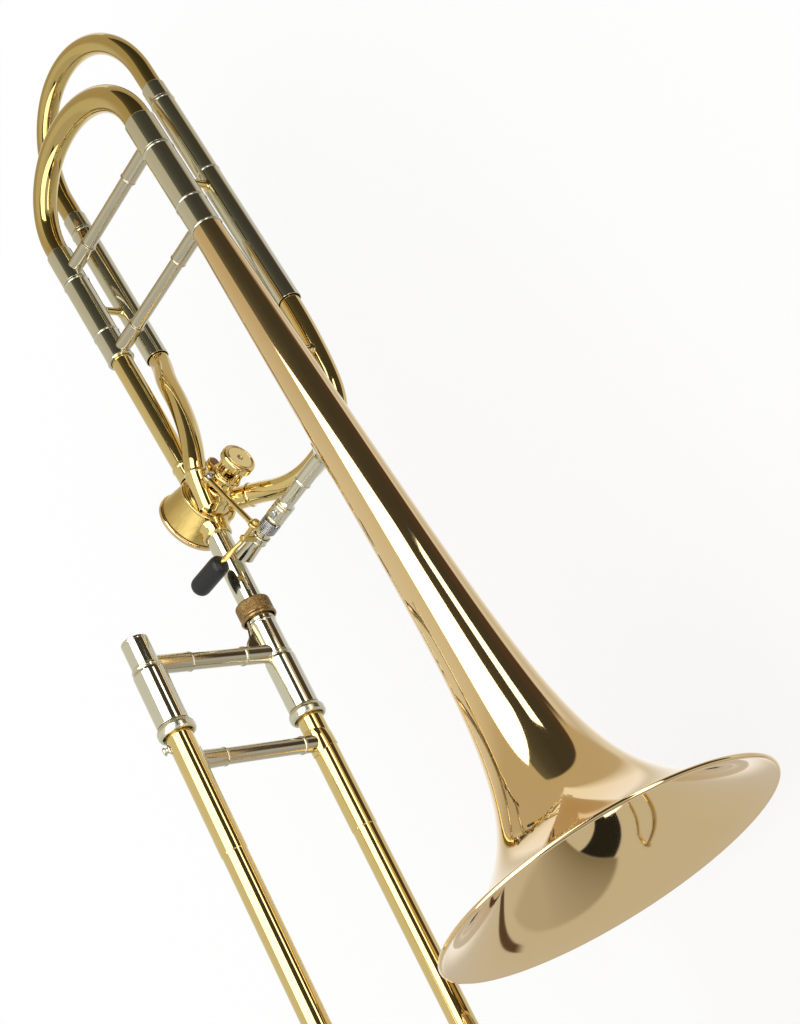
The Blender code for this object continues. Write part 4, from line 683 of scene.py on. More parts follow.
class TROMBONE_OT_inner_slide(bpy.types.Operator):
    """Builds the mouthpiece receiver, the cork barrels, the tenon, the grip brace and the inner tubes"""

    bl_idname = "trombone.inner_slide"
    bl_label = "Inner slide"

    def execute(self, context):
        sizes = context.scene.slide_sizes
        half, receiver, barrel, tenon, radius = in_mm(
            sizes, "spacing", "receiver_radius", "barrel_radius", "tenon_radius", "brace_radius"
        )
        half /= 2
        spots = {"upper": sizes.spacing / 2 * UP, "lower": -sizes.spacing / 2 * UP}
        upper, lower = spots.values()
        mouth = [
            (2.7, 5.8), (-16.6, 6.45), (-17.6, 7), (-17.6, receiver - 0.5), (-17.1, receiver),
            (-15.9, receiver), (-15.7, receiver - 0.12), (-15.5, receiver), (2.7, receiver),
        ]
        turned("receiver", mouth, upper, FORWARD, "mouthpiece_receiver")
        cup = [
            (1.4, 7.45), (1.4, receiver + 0.6), (2.1, receiver + 1), (3.1, receiver + 1),
            (3.7, receiver + 0.5), (4.8, barrel - 0.3), (6.2, barrel), (41.7, barrel), (41.7, 8.7),
            (12, 8.7), (12, 7.45),
        ]
        for name, spot in spots.items():
            turned(f"{name}_barrel", cup, spot, FORWARD, f"{name}_cork_barrel")
        flare = [
            (42, barrel), (42.8, barrel + 0.25), (43.8, barrel + 1.3), (45.2, barrel + 1.8),
            (47.8, barrel + 1.75), (49, barrel + 1.2), (49.5, barrel + 0.5), (49.3, barrel - 0.2),
            (47.6, barrel - 0.7), (45, barrel - 1.3), (42, 8.9),
        ]
        fixed = {"body": "inner_slide", "slot": "nickel_silver"}
        turned("lower_flare", flare, lower, FORWARD, corner=0.6, look="satin_nickel", **fixed)
        turned("lock_ring", flare, upper, FORWARD, "slide_lock_ring", 0.6, look="satin_nickel")
        edge = beads(-35, 2.7, tenon, (-21.6,), 1.8)
        turned("tenon", [*edge, (2.7, 6.9), (-35, 6.9)], lower, FORWARD, "slide_tenon")
        brace = socketed(-half + tenon, half - receiver, -22.6, 18, radius + 0.4, radius - 0.1)
        saddled(
            "grip_brace", brace, np.zeros(3), UP, FORWARD, (-half, tenon), (half, receiver),
            "inner_slide_brace", look="drawn_nickel",
        )
        # The web in the corner between tenon and brace follows a hollow curve
        hollow = curve_through([(-24.6, 10.4), (-19, 10.8), (-14.4, 11.9), (-10.6, 14.6), (-8, 19.4)], 30)
        web = slab(np.concatenate((hollow, [(-5, 19.4), (-5, 9), (-24.6, 9)])), -2.2, 2.2, 1.2)
        mesh = grid_mesh("gusset", web * MM + lower)
        place_piece(mesh, "tenon_gusset", slot="nickel_silver", look="drawn_nickel")
        # The last part of each inner tube is a little wider, and only that part touches the outer tube
        stocking = [(3, 6.8), (3, 7.1), (549, 7.1), (551, 7.25), (674.2, 7.25), (675, 7), (675, 6.8)]
        for name, spot in spots.items():
            turned(f"{name}_inner_tube", stocking, spot, FORWARD, f"inner_tube_{name}", sides=64)
        return {"FINISHED"}


class TROMBONE_OT_lock_nut(bpy.types.Operator):
    """Builds the knurled nut that joins the bell section to the slide"""

    bl_idname = "trombone.lock_nut"
    bl_label = "Lock nut"

    def execute(self, context):
        """The knurl is two crossing sets of ridges wound round the nut: at turn t and height h they lift
        the surface by cos(n t/2 + w h) * cos(n t/2 - w h), inside a band that fades at both ends."""
        lower = -context.scene.slide_sizes.spacing / 2 * UP
        outline = [
            (-38.4, 9.4), (-38.4, 10.4), (-37.9, 11.3), (-37, 11.5), (-28.6, 11.5), (-28.2, 11.2),
            (-27.7, 11.7), (-26.6, 12.1), (-25.6, 11.7), (-25.2, 10.9), (-26, 10.3), (-29, 9.9),
        ]
        eased = rounded(outline, 0.3)
        edge = np.concatenate(([0.0], np.cumsum(np.linalg.norm(np.diff(eased, axis=0), axis=1))))
        fine = np.linspace(0, edge[-1], 110)
        profile = np.stack([np.interp(fine, edge, eased[:, k]) for k in (0, 1)], axis=1)
        sides = 4 * KNURL_RIDGES
        points = revolve(profile, lower, FORWARD, sides)
        height, turn = profile[:, :1] / MM, KNURL_RIDGES * circle(sides) / 2
        cut = np.cos(turn + KNURL_WIND * height) * np.cos(turn - KNURL_WIND * height)
        band = smooth_step(height, -37.4, -36.9) * (1 - smooth_step(height, -29.2, -28.7))
        outward = points - (lower + profile[:, 0][:, None, None] * FORWARD)
        outward = outward / np.linalg.norm(outward, axis=2, keepdims=True)
        points = points + (KNURL_HEIGHT * band * cut)[..., None] * outward
        place_piece(grid_mesh("lock_nut", points, round_route=True, sharp=60), "bell_lock_nut")
        return {"FINISHED"}


class TROMBONE_OT_outer_slide(bpy.types.Operator):
    """Builds the outer tubes, the bow with its ferrules and bumper, the outer brace and the lock stud"""

    bl_idname = "trombone.outer_slide"
    bl_label = "Outer slide"

    def execute(self, context):
        sizes = context.scene.slide_sizes
        half = sizes.spacing / 2
        sleeve, outer = in_mm(sizes, "sleeve_radius", "outer_radius")
        stepped = [(30, 7.6), (30, sleeve), (129, sleeve), (129.9, outer), (681, outer), (681, 7.6)]
        ferrule = [(676, 8.25), (676, 8.9), (677, 9.4), (689.2, 9.4), (690, 9), (681.2, 8.9)]
        for name, spot in (("upper", half * UP), ("lower", -half * UP)):
            turned(f"{name}_outer_tube", stepped, spot, FORWARD, f"outer_tube_{name}", sides=72)
            turned(f"{name}_ferrule", ferrule, spot, FORWARD, f"bow_ferrule_{name}")
        turn = np.linspace(0, np.pi, 96)
        bend = np.stack((0 * turn, sizes.bow_centre + half * np.sin(turn), -half * np.cos(turn)), axis=1)
        route = np.concatenate(([(0, 0.6816, -half)], bend, [(0, 0.6816, half)]))
        tube("bow", route, sizes.bow_radius, SIDEWAYS, "slide_bow", 64)
        self.brace(half / MM, sleeve, *in_mm(sizes, "outer_brace_radius", "outer_brace_place"))
        stud = [
            (-0.2, 0), (-0.2, 3.1), (0.6, 2.8), (1.1, 1.7), (2.1, 1.7), (2.5, 2.7), (3.6, 2.7), (4.2, 1.6),
            (4.3, 0),
        ]
        stud = [(sleeve + height, radius) for height, radius in stud]
        spot, out = half * UP + 0.055 * FORWARD, (math.sin(sizes.stud_turn), 0, math.cos(sizes.stud_turn))
        turned("lock_stud", stud, spot, out, "slide_lock_stud", sides=48)
        crown = (sizes.bow_centre + half + sizes.bow_radius) / MM
        tip = [(-1, 0), (-1, 5.2), (1.2, 5), (3, 4.7), (6.4, 4.2), (7.4, 2.6), (7.4, 0)]
        tip = [(crown + height, radius) for height, radius in tip]
        turned("bumper", tip, np.zeros(3), FORWARD, "bow_bumper", 0.8, 64)
        return {"FINISHED"}

    def brace(self, half, sleeve, radius, place):
        """The hand brace with its curved flange, and the wrap round the lower tube: at turn t its half
        length is 4.4 + 4.2 (0.5 + 0.5 sin t)^2, so it is longest under the brace's foot."""
        high = half - sleeve
        outline = socketed(-high + 0.5, high, -33.45, 25.75, radius + 0.35, radius - 0.05)
        outline[-2:] = [(high - 0.6, radius + 0.35), (high - 0.5, 6.7), (high + 0.3, 6.8), (high + 0.3, 0)]
        saddled(
            "outer_brace", outline, place * MM * FORWARD, UP, FORWARD, (-half, sleeve + 0.5), (half, sleeve),
            "outer_slide_brace", stretch=1.45, look="drawn_nickel",
        )
        turn = circle(96)
        reach = 4.4 + 4.2 * (0.5 + 0.5 * np.sin(turn)) ** 2
        rows = ((-1, 0.1), (-1, 0.4), (-0.97, 0.5), (0.97, 0.5), (1, 0.4), (1, 0.1))
        share, rise = np.array(rows).T[..., None]
        x, z = (sleeve + rise) * np.cos(turn), (sleeve + rise) * np.sin(turn) - half
        wrap = np.stack((x, place + share * reach, z), axis=2) * MM
        place_piece(grid_mesh("brace_saddle", wrap, round_route=True), "outer_brace_saddle")


class TROMBONE_OT_water_key(bpy.types.Operator):
    """Builds the water key's nipple, saddle, pin, lever, cork and spring"""

    bl_idname = "trombone.water_key"
    bl_label = "Water key"

    def execute(self, context):
        half = context.scene.slide_sizes.spacing / 2 / MM
        seat, pin_drop = half + KEY_SEAT_DROP, half + KEY_PIN_DROP
        nipple = [(half + 6, 1.8), (half + 6, 4.6), (half + 9.4, 4), (seat - 1, 3.6), (seat, 3), (seat, 1.8)]
        turned("nipple", nipple, KEY_HOLE * FORWARD, -UP, "water_key_nipple", sides=48)
        spot = np.array((0, KEY_PIN, -pin_drop * MM))
        pin = [(-8.4, 0), (-8.4, 1.5), (-7.8, 1.5), (-7.7, 0.8), (8.4, 0.8), (8.4, 0)]
        turned("key_pin", pin, spot, SIDEWAYS, "water_key_pin", 0.15, 32)
        turns, radius, leg = 3, 0.0019, np.array((0, 0, 0.0012))
        turn = np.linspace(0, 2 * np.pi * turns, 24 * turns)
        height = np.linspace(0.0027, 0.0054, len(turn))
        coil = np.stack((height, -radius * np.cos(turn), radius * np.sin(turn)), axis=1)
        coil = np.concatenate((coil[:1] - leg, coil, coil[-1:] + leg)) + spot
        mesh = grid_mesh("key_spring", capped(sweep(coil, 0.00022, SIDEWAYS, 10)))
        place_piece(mesh, "water_key_spring")
        # A plate under the bow's ferrule with two ears that hold the pin
        plate = [(682.2, -60.5, 0.8), (685.8, -60.5, 0.8), (682.2, -57.9, 0.8), (685.8, -57.9, 0.8)]
        ear = [(684, -pin_drop - 0.05, 2.3), (684, -half - 9, 2.4)]
        ears = [slab(hull(ear), x - 0.75, x + 0.75, 0.2) for x in (-6.75, 6.75)]
        mesh = grid_mesh("key_saddle", *(grid * MM for grid in (slab(hull(plate), -7.5, 7.5), *ears)))
        place_piece(mesh, "water_key_saddle")
        self.lever(seat, spot, -pin_drop)
        return {"FINISHED"}

    def lever(self, seat, pin_spot, pin_z):
        """The lever: a knuckle on the pin, a cup over the hole, and an arm that ends in a touch."""
        hole, touch_spot = KEY_HOLE * FORWARD, np.array((0, KEY_TOUCH, pin_z * MM))
        knuckle = [(-2.2, 1.2), (-2.2, 2.4), (2.2, 2.4), (2.2, 1.2)]
        cup = [(2.2, 0), (2.2, 4.7), (2.7, 5.2), (3.7, 5.2), (4.5, 4.4), (4.9, 0)]
        cup = [(seat + height, radius) for height, radius in cup]
        front = slab(hull([(0, 684.6, 2), (0, 699, 3.4)]), -seat - 4.6, -seat - 3)[..., (1, 2, 0)]
        rear = curve_through([(682.6, -1), (675, -4.2), (663, -5.8), (655, -5.2)], 60) + (0, pin_z)
        rear = np.concatenate((0 * rear[:, :1], rear), axis=1) * MM
        touch = [(4.3, 0), (4.3, 4.5), (4.8, 5), (5.5, 5), (6, 4.4), (5.6, 0)]
        mesh = grid_mesh(
            "key_lever",
            ring_grid(knuckle, pin_spot, SIDEWAYS),
            revolve(rounded(cup), hole, -UP, 64),
            front * MM,
            capped(sweep(rear, 0.0021, SIDEWAYS, 40, 0.0008)),
            revolve(rounded(touch), touch_spot, -UP, 64),
        )
        place_piece(mesh, "water_key_lever")
        cork = [(seat + 0.25, 0), (seat + 0.25, 4.2), (seat + 2.15, 4.4), (seat + 2.15, 0)]
        turned("key_cork", cork, hole, -UP, "water_key_cork", sides=64)


class TROMBONE_OT_bell(bpy.types.Operator):
    """Builds the bell: a flare of thin sheet, rolled over a wire at its rim"""

    bl_idname = "trombone.bell"
    bl_label = "Bell"

    def execute(self, context):
        rim, tail, wall, wire, offset = in_mm(
            context.scene.bell_sizes, "rim", "tail", "wall", "wire", "offset"
        )
        behind = np.geomspace(BELL_ONSET, BELL_ONSET + rim - tail, 190) - BELL_ONSET
        outer = np.stack((rim - behind, bell_outer(behind)), axis=1)
        slope = np.gradient(outer, axis=0)
        slope /= np.linalg.norm(slope, axis=1)[:, None]
        inner = outer + wall * np.stack((-slope[:, 1], slope[:, 0]), axis=1)
        # The roll: most of a circle that touches the inner sheet in front and meets the outer sheet behind
        turn = np.radians(np.linspace(0, 200, 22))
        centre = (inner[0, 0] - wire, outer[0, 1] - wire)
        roll = centre + wire * np.stack((np.cos(turn), np.sin(turn)), axis=1)
        inner = inner[inner[:, 1] < roll[0, 1] - 0.2]
        outer = outer[(outer[:, 1] < roll[-1, 1] - 0.2) & (outer[:, 0] < roll[-1, 0])]
        outline = np.concatenate((inner[::-1], roll, outer)) * MM
        points = revolve(outline, in_section(offset, 0, 0), section_way(0, 0, 1), 200)
        place_piece(grid_mesh("flare", points, round_route=True, sharp=70), "bell")
        return {"FINISHED"}


class TROMBONE_OT_neckpipe(bpy.types.Operator):
    """Builds the neckpipe, its collar on the valve with a screw, and the bell brace"""

    bl_idname = "trombone.neckpipe"
    bl_label = "Neckpipe"

    def execute(self, context):
        place, offset, rim = in_mm(context.scene.bell_sizes, "brace", "offset", "rim")
        spot = -context.scene.slide_sizes.spacing / 2 * UP
        pipe = [(-100, 6.9), (-100, NECKPIPE), (-37.3, NECKPIPE), (-37.3, 9.3), (-35.4, 9.3), (-35.4, 6.9)]
        turned("neck_tube", pipe, spot, FORWARD, "neckpipe")
        collar = [
            (-99.6, 8.4), (-99.6, 11.6), (-98, 11), (-95.6, 10.4), (-91.6, 10.2), (-90.5, 9.7), (-90.5, 8.4),
        ]
        turned("neck_collar", collar, spot, FORWARD, "neckpipe_collar")
        screw = [(5.8, 0), (5.8, 2.4), (8, 2.4), (8.6, 1.7), (8.7, 0)]
        turned(
            "collar_screw", screw, in_section(50, 0, place), section_way(0, 1, 0.3), sides=40,
            body="bell_section", slot="steel",
        )
        bell_radius = float(bell_outer(rim - place))
        edge = offset - bell_radius
        outline = [
            (7.4, 0), (7.4, 5.9), (12, 5.5), (20, 5), (43, 4.8), (43, 6), (43.4, 6.4), (44.7, 6.4), (45, 5.9),
            (45.6, 5.9), (45.9, 6.4), (54.8, 6.4), (55.1, 5.9), (55.7, 5.9), (56, 6.4), (57.4, 6.4),
            (58, 5.2), (60, 4.8), (76.6, 4.8), (77, 5.6), (78, 5.8), (78.6, 5.3), (edge - 3.6, 5.3),
            (edge - 1.6, 7.6), (edge - 0.8, 10.8), (edge + 0.4, 11), (edge + 0.4, 0),
        ]
        outward, _, forward = section_ways()
        saddled(
            "bell_strut", outline, in_section(0, 0, place), outward, forward, (0, NECKPIPE),
            (offset, bell_radius), "bell_brace",
        )
        return {"FINISHED"}


class TROMBONE_OT_main_tuning(bpy.types.Operator):
    """Builds the main tuning slide, the sleeves that it runs in, their braces and the gooseneck"""

    bl_idname = "trombone.main_tuning"
    bl_label = "Main tuning slide"

    def execute(self, context):
        offset, centre = in_mm(context.scene.bell_sizes, "offset", "crook_centre")
        outward, upward, forward = section_ways()
        route = crook(centre, 0, 0, 0.91, -183)
        radius = np.linspace(0.0079, 0.0096, len(route))
        # The crook's darkened brass is painted shade for the dimmer room that it mirrors
        tube("main_bend", route, radius, upward, "main_crook", 64, "shade_darkened_brass")
        for name, shift, outer in (("neck", 0, NECK_SLEEVE), ("bell", offset, BELL_SLEEVE)):
            spot = in_section(shift, 0, 0)
            inner, bore = outer - 0.85, outer - 1.25
            leg = [
                (-182.8, outer - 1.1), (-182.8, outer - 0.35), (-182.2, outer), (-155.2, outer),
                (-155, inner), (-92, inner), (-92, bore), (-150, bore),
            ]
            turned(f"{name}_leg", leg, spot, forward, f"main_leg_{name}")
            # The neck side's sleeve narrows at its end to hold the gooseneck
            narrow = [(-82.1, 7.6), (-83.6, 7.6), (-83.6, outer - 0.5)]
            end = narrow if name == "neck" else [(-82.1, outer - 0.5)]
            sleeve = [*beads(-154.7, -82.1, outer, (-153.6, -105.4, -83)), *end, (-154.7, outer - 0.5)]
            turned(f"{name}_sleeve", sleeve, spot, forward, f"main_sleeve_{name}")
        brace = socketed(NECK_SLEEVE, offset - BELL_SLEEVE, 27.5, 85, 5.3, 4.6)
        for name, place, replaced in (
            ("crook_brace", -164.8, "tuning_brace"),
            ("fixed_brace", -88.8, "sleeve_brace"),
        ):
            saddled(
                name, brace, in_section(0, 0, place), outward, forward, (0, NECK_SLEEVE),
                (offset, BELL_SLEEVE), replaced, look="drawn_nickel",
            )
        goose = [
            (-91, 6.7), (-91, 7.3), (12, 7.3), (12.2, 7.7), (13, 8.2), (14.4, 8.2), (15, 7.8), (24.5, 7.8),
            (24.5, 6.7),
        ]
        turned("goose_tube", goose, in_section(0, 0, 0), forward, "gooseneck")
        return {"FINISHED"}


class TROMBONE_OT_f_tubing(bpy.types.Operator):
    """Builds the F tuning slide, its sleeves, the two tubes to the valve and the stays"""

    bl_idname = "trombone.f_tubing"
    bl_label = "F tubing"

    def execute(self, context):
        drop, shift, centre, offset, rim = in_mm(
            context.scene.bell_sizes, "f_drop", "f_shift", "f_crook_centre", "offset", "rim"
        )
        _, upward, forward = section_ways()
        route = crook(centre, drop, shift, 1.17, -222.3)
        # The F crook's darkened brass is painted shade for the dimmer room that it mirrors
        tube("f_bend", route, 0.0073, upward, "f_crook", look="shade_darkened_brass")
        leg = [
            (-222, 7), (-222, 7.95), (-221.4, F_SLEEVE), (-208.2, F_SLEEVE), (-208, 7.4), (-119, 7.4),
            (-119, 7),
        ]
        for name, side, end, rings in (("neck", 0, -86, (-206.2,)), ("bell", offset, -21, (-206.2, -138))):
            spot = in_section(shift + side, drop, 0)
            turned(f"f_{name}_leg", leg, spot, forward, f"f_leg_{name}", sides=80)
            sleeve = [*beads(-207.7, end, F_SLEEVE, rings), (end, 7.75), (-207.7, 7.75)]
            turned(f"f_{name}_sleeve", sleeve, spot, forward, f"f_sleeve_{name}", sides=80)
        self.runs()
        self.stays(drop, float(bell_outer(rim - 20)))
        return {"FINISHED"}

    def runs(self):
        """The two curved tubes between the F slide and the valve, through places along e, n and v."""
        feed = [
            (1.5, -32, -92), (1.7, -31.8, -83), (5.2, -25.8, -69), (9, -19, -56), (14, -11.8, -35),
            (18, -4.2, -12.5), (19.6, 3, 7.5), (18.2, 8.2, 22.5), (14.6, 9.8, 33), (12.4, 9.6, 41),
            (10.2, 9, 49), (8.4, 8.2, 55.5),
        ]
        back = [
            (119.5, -32, -29), (119, -32, -10), (116.2, -32, 24), (113.2, -31.8, 42.5), (108, -31.4, 56.5),
            (96.5, -29.8, 68), (76, -26.5, 75), (56, -22.2, 74.2), (42.5, -18.6, 69), (33, -16, 63.2),
            (24.5, -14, 58.5), (15, -11.5, 53.5), (6, -8, 49),
        ]
        for name, stations, ferrule, guide in (
            ("feed", feed, 24.5, (1, 0.3, 0)),
            ("return", back, 22.5, (0, 1, 0)),
        ):
            route = curve_through([in_section(*place) for place in stations], 320)
            tube(f"f_{name}", route, ferruled(route, ferrule), section_way(*guide), f"f_tube_{name}")

    def stays(self, drop, low_bell):
        """Three short posts that hold the F tubing to the main tubing and to the bell."""
        _, upward, forward = section_ways()
        foot = ((-0.3, 0), (-0.3, 4.2), (0.6, 4), (1.4, 2.9), (2.4, 2.6))
        for name, e, v, upper, lower in (
            ("neck", 0.8, -130, NECK_SLEEVE, F_SLEEVE),
            ("bell", 119, -127, BELL_SLEEVE, F_SLEEVE),
            ("low", 117.8, 20, low_bell, F_TUBE),
        ):
            outline = [(drop + lower + rise, radius) for rise, radius in foot]
            outline += [(-upper - rise, radius) for rise, radius in reversed(foot)]
            saddled(
                f"{name}_post", outline, in_section(e, 0, v), upward, forward, (drop, lower), (0, upper),
                f"stay_{name}", sides=48,
            )


class TROMBONE_OT_valve(bpy.types.Operator):
    """Builds the drum valve: its casing, cap, rims and bearing, the stop arm and cork, and the knob"""

    bl_idname = "trombone.valve"
    bl_label = "Rotary valve"

    def execute(self, context):
        valve = context.scene.bell_sizes.valve / MM
        spot, outward = in_section(0, 0, valve), section_way(1, 0, 0)
        casing = [(-15.5, 16.8), (-15.5, 22.5), (3, 19.1), (3, 16.8)]
        turned("drum", casing, spot, outward, "valve_casing", sides=160, look="satin_brass")
        rim = [(2.8, 16.9), (2.8, 19.4), (3.3, 19.9), (4.7, 19.8), (5.3, 19.2), (5.3, 17.9), (4.2, 17.2)]
        fixed = {"body": "bell_section", "sides": 160}
        turned("front_rim", rim, spot, outward, slot="lacquered_brass", **fixed)
        cap = [
            (-20.5, 0), (-20.5, 6), (-19.9, 6.6), (-19.7, 15), (-19.9, 21.5), (-19.2, 22.6), (-15.8, 22.7),
            (-15.8, 0),
        ]
        turned("back_cap", cap, spot, outward, "valve_back_cap", 0.5, 160)
        roll = [(-19.3, 22.2), (-19.3, 23.4), (-18.4, 24), (-16.6, 24), (-15.8, 23.3), (-15.8, 22.2)]
        turned("back_rim", roll, spot, outward, slot="gold_brass", **fixed)
        self.bearing(spot, outward)
        self.moving(valve, spot, outward)
        return {"FINISHED"}

    def bearing(self, spot, outward):
        """The front bearing's cone, with a cup beside it that holds the stop cork."""
        nose = [
            (4, 4.4), (4, 17.5), (4.7, 17.3), (5.2, 15.3), (9, 14.4), (13, 12.9), (16, 11.5), (18.5, 11),
            (18.5, 4.4),
        ]
        arm = slab(hull([(-1, 38, 3), (*STOP_CORK, 4.2)]), 17.2, 18.5)
        cup = [(17, 3.1), (17, 4.2), (21.2, 4.2), (21.2, 3.1)]
        side = in_section(0, *STOP_CORK)
        grids = ring_grid(nose, spot, outward, 0.8, 128), section_points(arm), ring_grid(cup, side, outward)
        place_piece(grid_mesh("bearing", *grids), "valve_bearing")
        cork = [(17.4, 0), (17.4, 3.05), (21.6, 3.05), (22.2, 2.5), (22.3, 0)]
        turned("stop_cork", cork, side, outward, "stop_bumper", sides=48)

    def moving(self, valve, spot, outward):
        """The stop arm, its pin, and the knob on its cage of six posts."""
        hub = [(20.2, 4.3), (20.2, 7), (26, 6.6), (26, 4.3)]
        plate = slab(hull([(0, valve, 6.3), (*STOP_PIN, 3.6)]), 20.2, 21.6)
        mesh = grid_mesh("stop_lever", ring_grid(hub, spot, outward), section_points(plate))
        place_piece(mesh, "stop_arm")
        screws = {"body": "valve_rotor", "slot": "steel"}
        pin = [(20.6, 0), (20.6, 1.6), (24.9, 1.6), (25, 2.6), (26.2, 2.7), (27, 2.1), (27.3, 0)]
        turned("stop_screw", pin, in_section(0, *STOP_PIN), outward, sides=48, **screws)
        knob = [
            (37.4, 0), (37.4, 9.4), (38.6, 9.8), (39.4, 11.2), (40.2, 11.6), (43.5, 11.6), (44.5, 11),
            (44.9, 10.2), (44.9, 9.4), (44.3, 9.2), (44.3, 8.6), (44.9, 8.4), (44.9, 2), (43.6, 1.8),
            (43.4, 0),
        ]
        base = [(26.3, 6.1), (26.3, 9.4), (27.2, 10), (28.4, 9.9), (29, 9), (30.6, 9), (30.6, 6.1)]
        grids = [revolve(rounded(knob, 0.3), spot, outward, 128), ring_grid(base, spot, outward, 0.25, 128)]
        for turn in circle(6) + 0.35:
            post = hull([(7.9 * math.cos(turn), 7.9 * math.sin(turn), 1.1)], 24) + (0, valve)
            grids.append(section_points(slab(post, 30.2, 37.8, 0.1)))
        turned("knob_screw", [(42, 0), (42, 1.7), (44.1, 1.6), (44.4, 0)], spot, outward, **screws)
        place_piece(grid_mesh("knob", *grids), "valve_cap")


class TROMBONE_OT_link_rod(bpy.types.Operator):
    """Builds the rod from the trigger's pin to the stop arm's pin, with an eye at each end"""

    bl_idname = "trombone.link_rod"
    bl_label = "Link rod"

    def execute(self, context):
        outward = section_way(1, 0, 0)
        near, far = in_section(23.4, *STOP_PIN), in_section(37.8, *LEVER_PIN)
        run = (far - near) / np.linalg.norm(far - near)
        small = [(-1.4, 1.95), (-1.4, 3.4), (-0.9, 3.8), (0.9, 3.8), (1.4, 3.4), (1.4, 1.95)]
        large = [(-1.5, 2), (-1.5, 3.5), (-1, 4), (1, 4), (1.5, 3.5), (1.5, 2)]
        share = np.linspace(0, 1, 40)[:, None]
        shank = near + 0.0032 * run + share * (far - near - 0.0064 * run)
        # The shank thickens a little where it meets each eye
        thick = (1.95 + 0.2 * smooth_step(np.abs(share[:, 0] - 0.5) * 2, 0.9, 0.97)) * MM
        mesh = grid_mesh(
            "rod",
            ring_grid(small, near, outward),
            ring_grid(large, far, outward),
            capped(sweep(shank, thick, outward, 32)),
        )
        place_piece(mesh, "link_rod")
        return {"FINISHED"}


class TROMBONE_OT_trigger(bpy.types.Operator):
    """Builds the thumb sleeve, the trigger's lever with its hub, and its spring"""

    bl_idname = "trombone.trigger"
    bl_label = "Thumb trigger"

    def execute(self, context):
        start = in_section(6.8, 22, 99.1)
        run = in_section(-24.2, 22, 97.3) - start
        end = float(np.linalg.norm(run)) / MM
        sleeve = [
            (-0.2, 0), (-0.2, 3.6), (0.6, 5.2), (2, 6.3), (4.2, 6.75), (end - 5.6, 6.75), (end - 3, 6.2),
            (end - 1.2, 4.6), (end - 0.2, 2.4), (end, 0),
        ]
        turned("rubber_sleeve", sleeve, start, run, "thumb_sleeve", 1.2, 72)
        spot = in_section(0, 0, context.scene.bell_sizes.brace / MM)
        self.lever(spot)
        outward, side, up = across(section_way(1, 0, 0))
        turns, radius, wire = 8, 0.0058, 0.0005
        turn = np.linspace(0, 2 * np.pi * turns, 28 * turns)[:, None]
        height = np.linspace(0.0330, 0.0420, len(turn))[:, None]
        coil = spot + height * outward + radius * (np.cos(turn) * side + np.sin(turn) * up)
        leg = spot + np.linspace(0.0286, 0.0325, 6)[:, None] * outward + radius * side
        coil = sweep(np.concatenate((leg, coil)), wire, outward, 10)
        # The wire's end is bent into an eye
        turn = np.linspace(0, 2 * np.pi, 25)
        eye = np.stack((42.2 + 1.4 * np.cos(turn), 0.6 + 1.4 * np.sin(turn), 101.6 + 0 * turn), axis=1)
        eye = sweep(section_points(eye), wire, section_way(0, 0, 1), 10)
        place_piece(grid_mesh("return_spring", capped(coil), capped(eye)), "trigger_spring")
        return {"FINISHED"}

    def lever(self, spot):
        """The lever: a hub on the bell brace, a post, the pin for the link rod and a slim bent arm that
        is flattened just before the thumb sleeve."""
        outward, upward, forward = section_ways()
        hub = [
            (22.3, 5.2), (22.3, 5.8), (22.7, 6.1), (23.6, 6.1), (23.9, 5.8), (26.6, 5.8), (26.9, 6.1),
            (27.8, 6.1), (28.2, 5.8), (28.2, 5.2),
        ]
        turned("lever_hub", hub, spot, outward, sides=80, body="trigger", slot="nickel_silver")
        arm = [
            (36.1, 14, 95.7), (30, 14, 95.8), (23.5, 14.2, 96), (16.5, 17, 97), (11, 20.5, 98.5),
            (5.4, 22, 99),
        ]
        arm = curve_through(arm, 90)
        flat = smooth_step(arm[:, 0], 17.5, 12.5) * (1 - smooth_step(arm[:, 0], 9, 7))
        wide, deep = (1.5 + 0.7 * flat) * MM, (1.5 - 0.5 * flat) * MM
        post = [(5, 0), (5, 2.6), (7, 2.1), (11.4, 1.8), (12.4, 2.3), (15.4, 2.3), (16, 1.8), (16.2, 0)]
        pin = [(35.9, 0), (35.9, 1.6), (39.4, 1.6), (39.5, 2.8), (40.8, 2.8), (41.8, 2), (42.1, 0)]
        mesh = grid_mesh(
            "lever",
            capped(sweep(section_points(arm), wide, forward, 32, deep)),
            revolve(rounded(post), in_section(25.25, 0, 95.6), upward, 48),
            revolve(rounded(pin), in_section(0, *LEVER_PIN), outward, 48),
        )
        place_piece(mesh, "trigger_lever", look="satin_brass")


def studio_sheet(name, corners, material):
    """A flat four-cornered sheet of the studio, which isn't part of the object."""
    mesh = bpy.data.meshes.new(name)
    mesh.from_pydata(corners, [], [(0, 1, 2, 3)])
    mesh.materials.append(material)
    sheet = bpy.data.objects.new(name, mesh)
    bpy.context.scene.collection.objects.link(sheet)
    return sheet


def past(tree, *edges):
    """1 where each value lies past its edge, which is a smooth step from low to high, and 0 elsewhere."""
    share = 1.0
    for value, low, high in edges:
        step = remap(tree, value, low, high, interpolation_type="SMOOTHSTEP")
        share = maths(tree, "MULTIPLY", share, step)
    return share


def wall(tree, turn, shades):
    """Straight fades between shades that are given at turns from -180 to 180 degrees."""
    ramp = node(tree, "ShaderNodeValToRGB", {"Fac": remap(tree, turn, -math.pi, math.pi)})
    elements = ramp.color_ramp.elements
    elements.remove(elements[-1])
    for index, (degrees, level) in enumerate(shades):
        element = elements[0] if index == 0 else elements.new(1.0)
        element.position = (degrees + 180) / 360
        element.color = (*level, 1)
    return ramp.outputs["Color"]


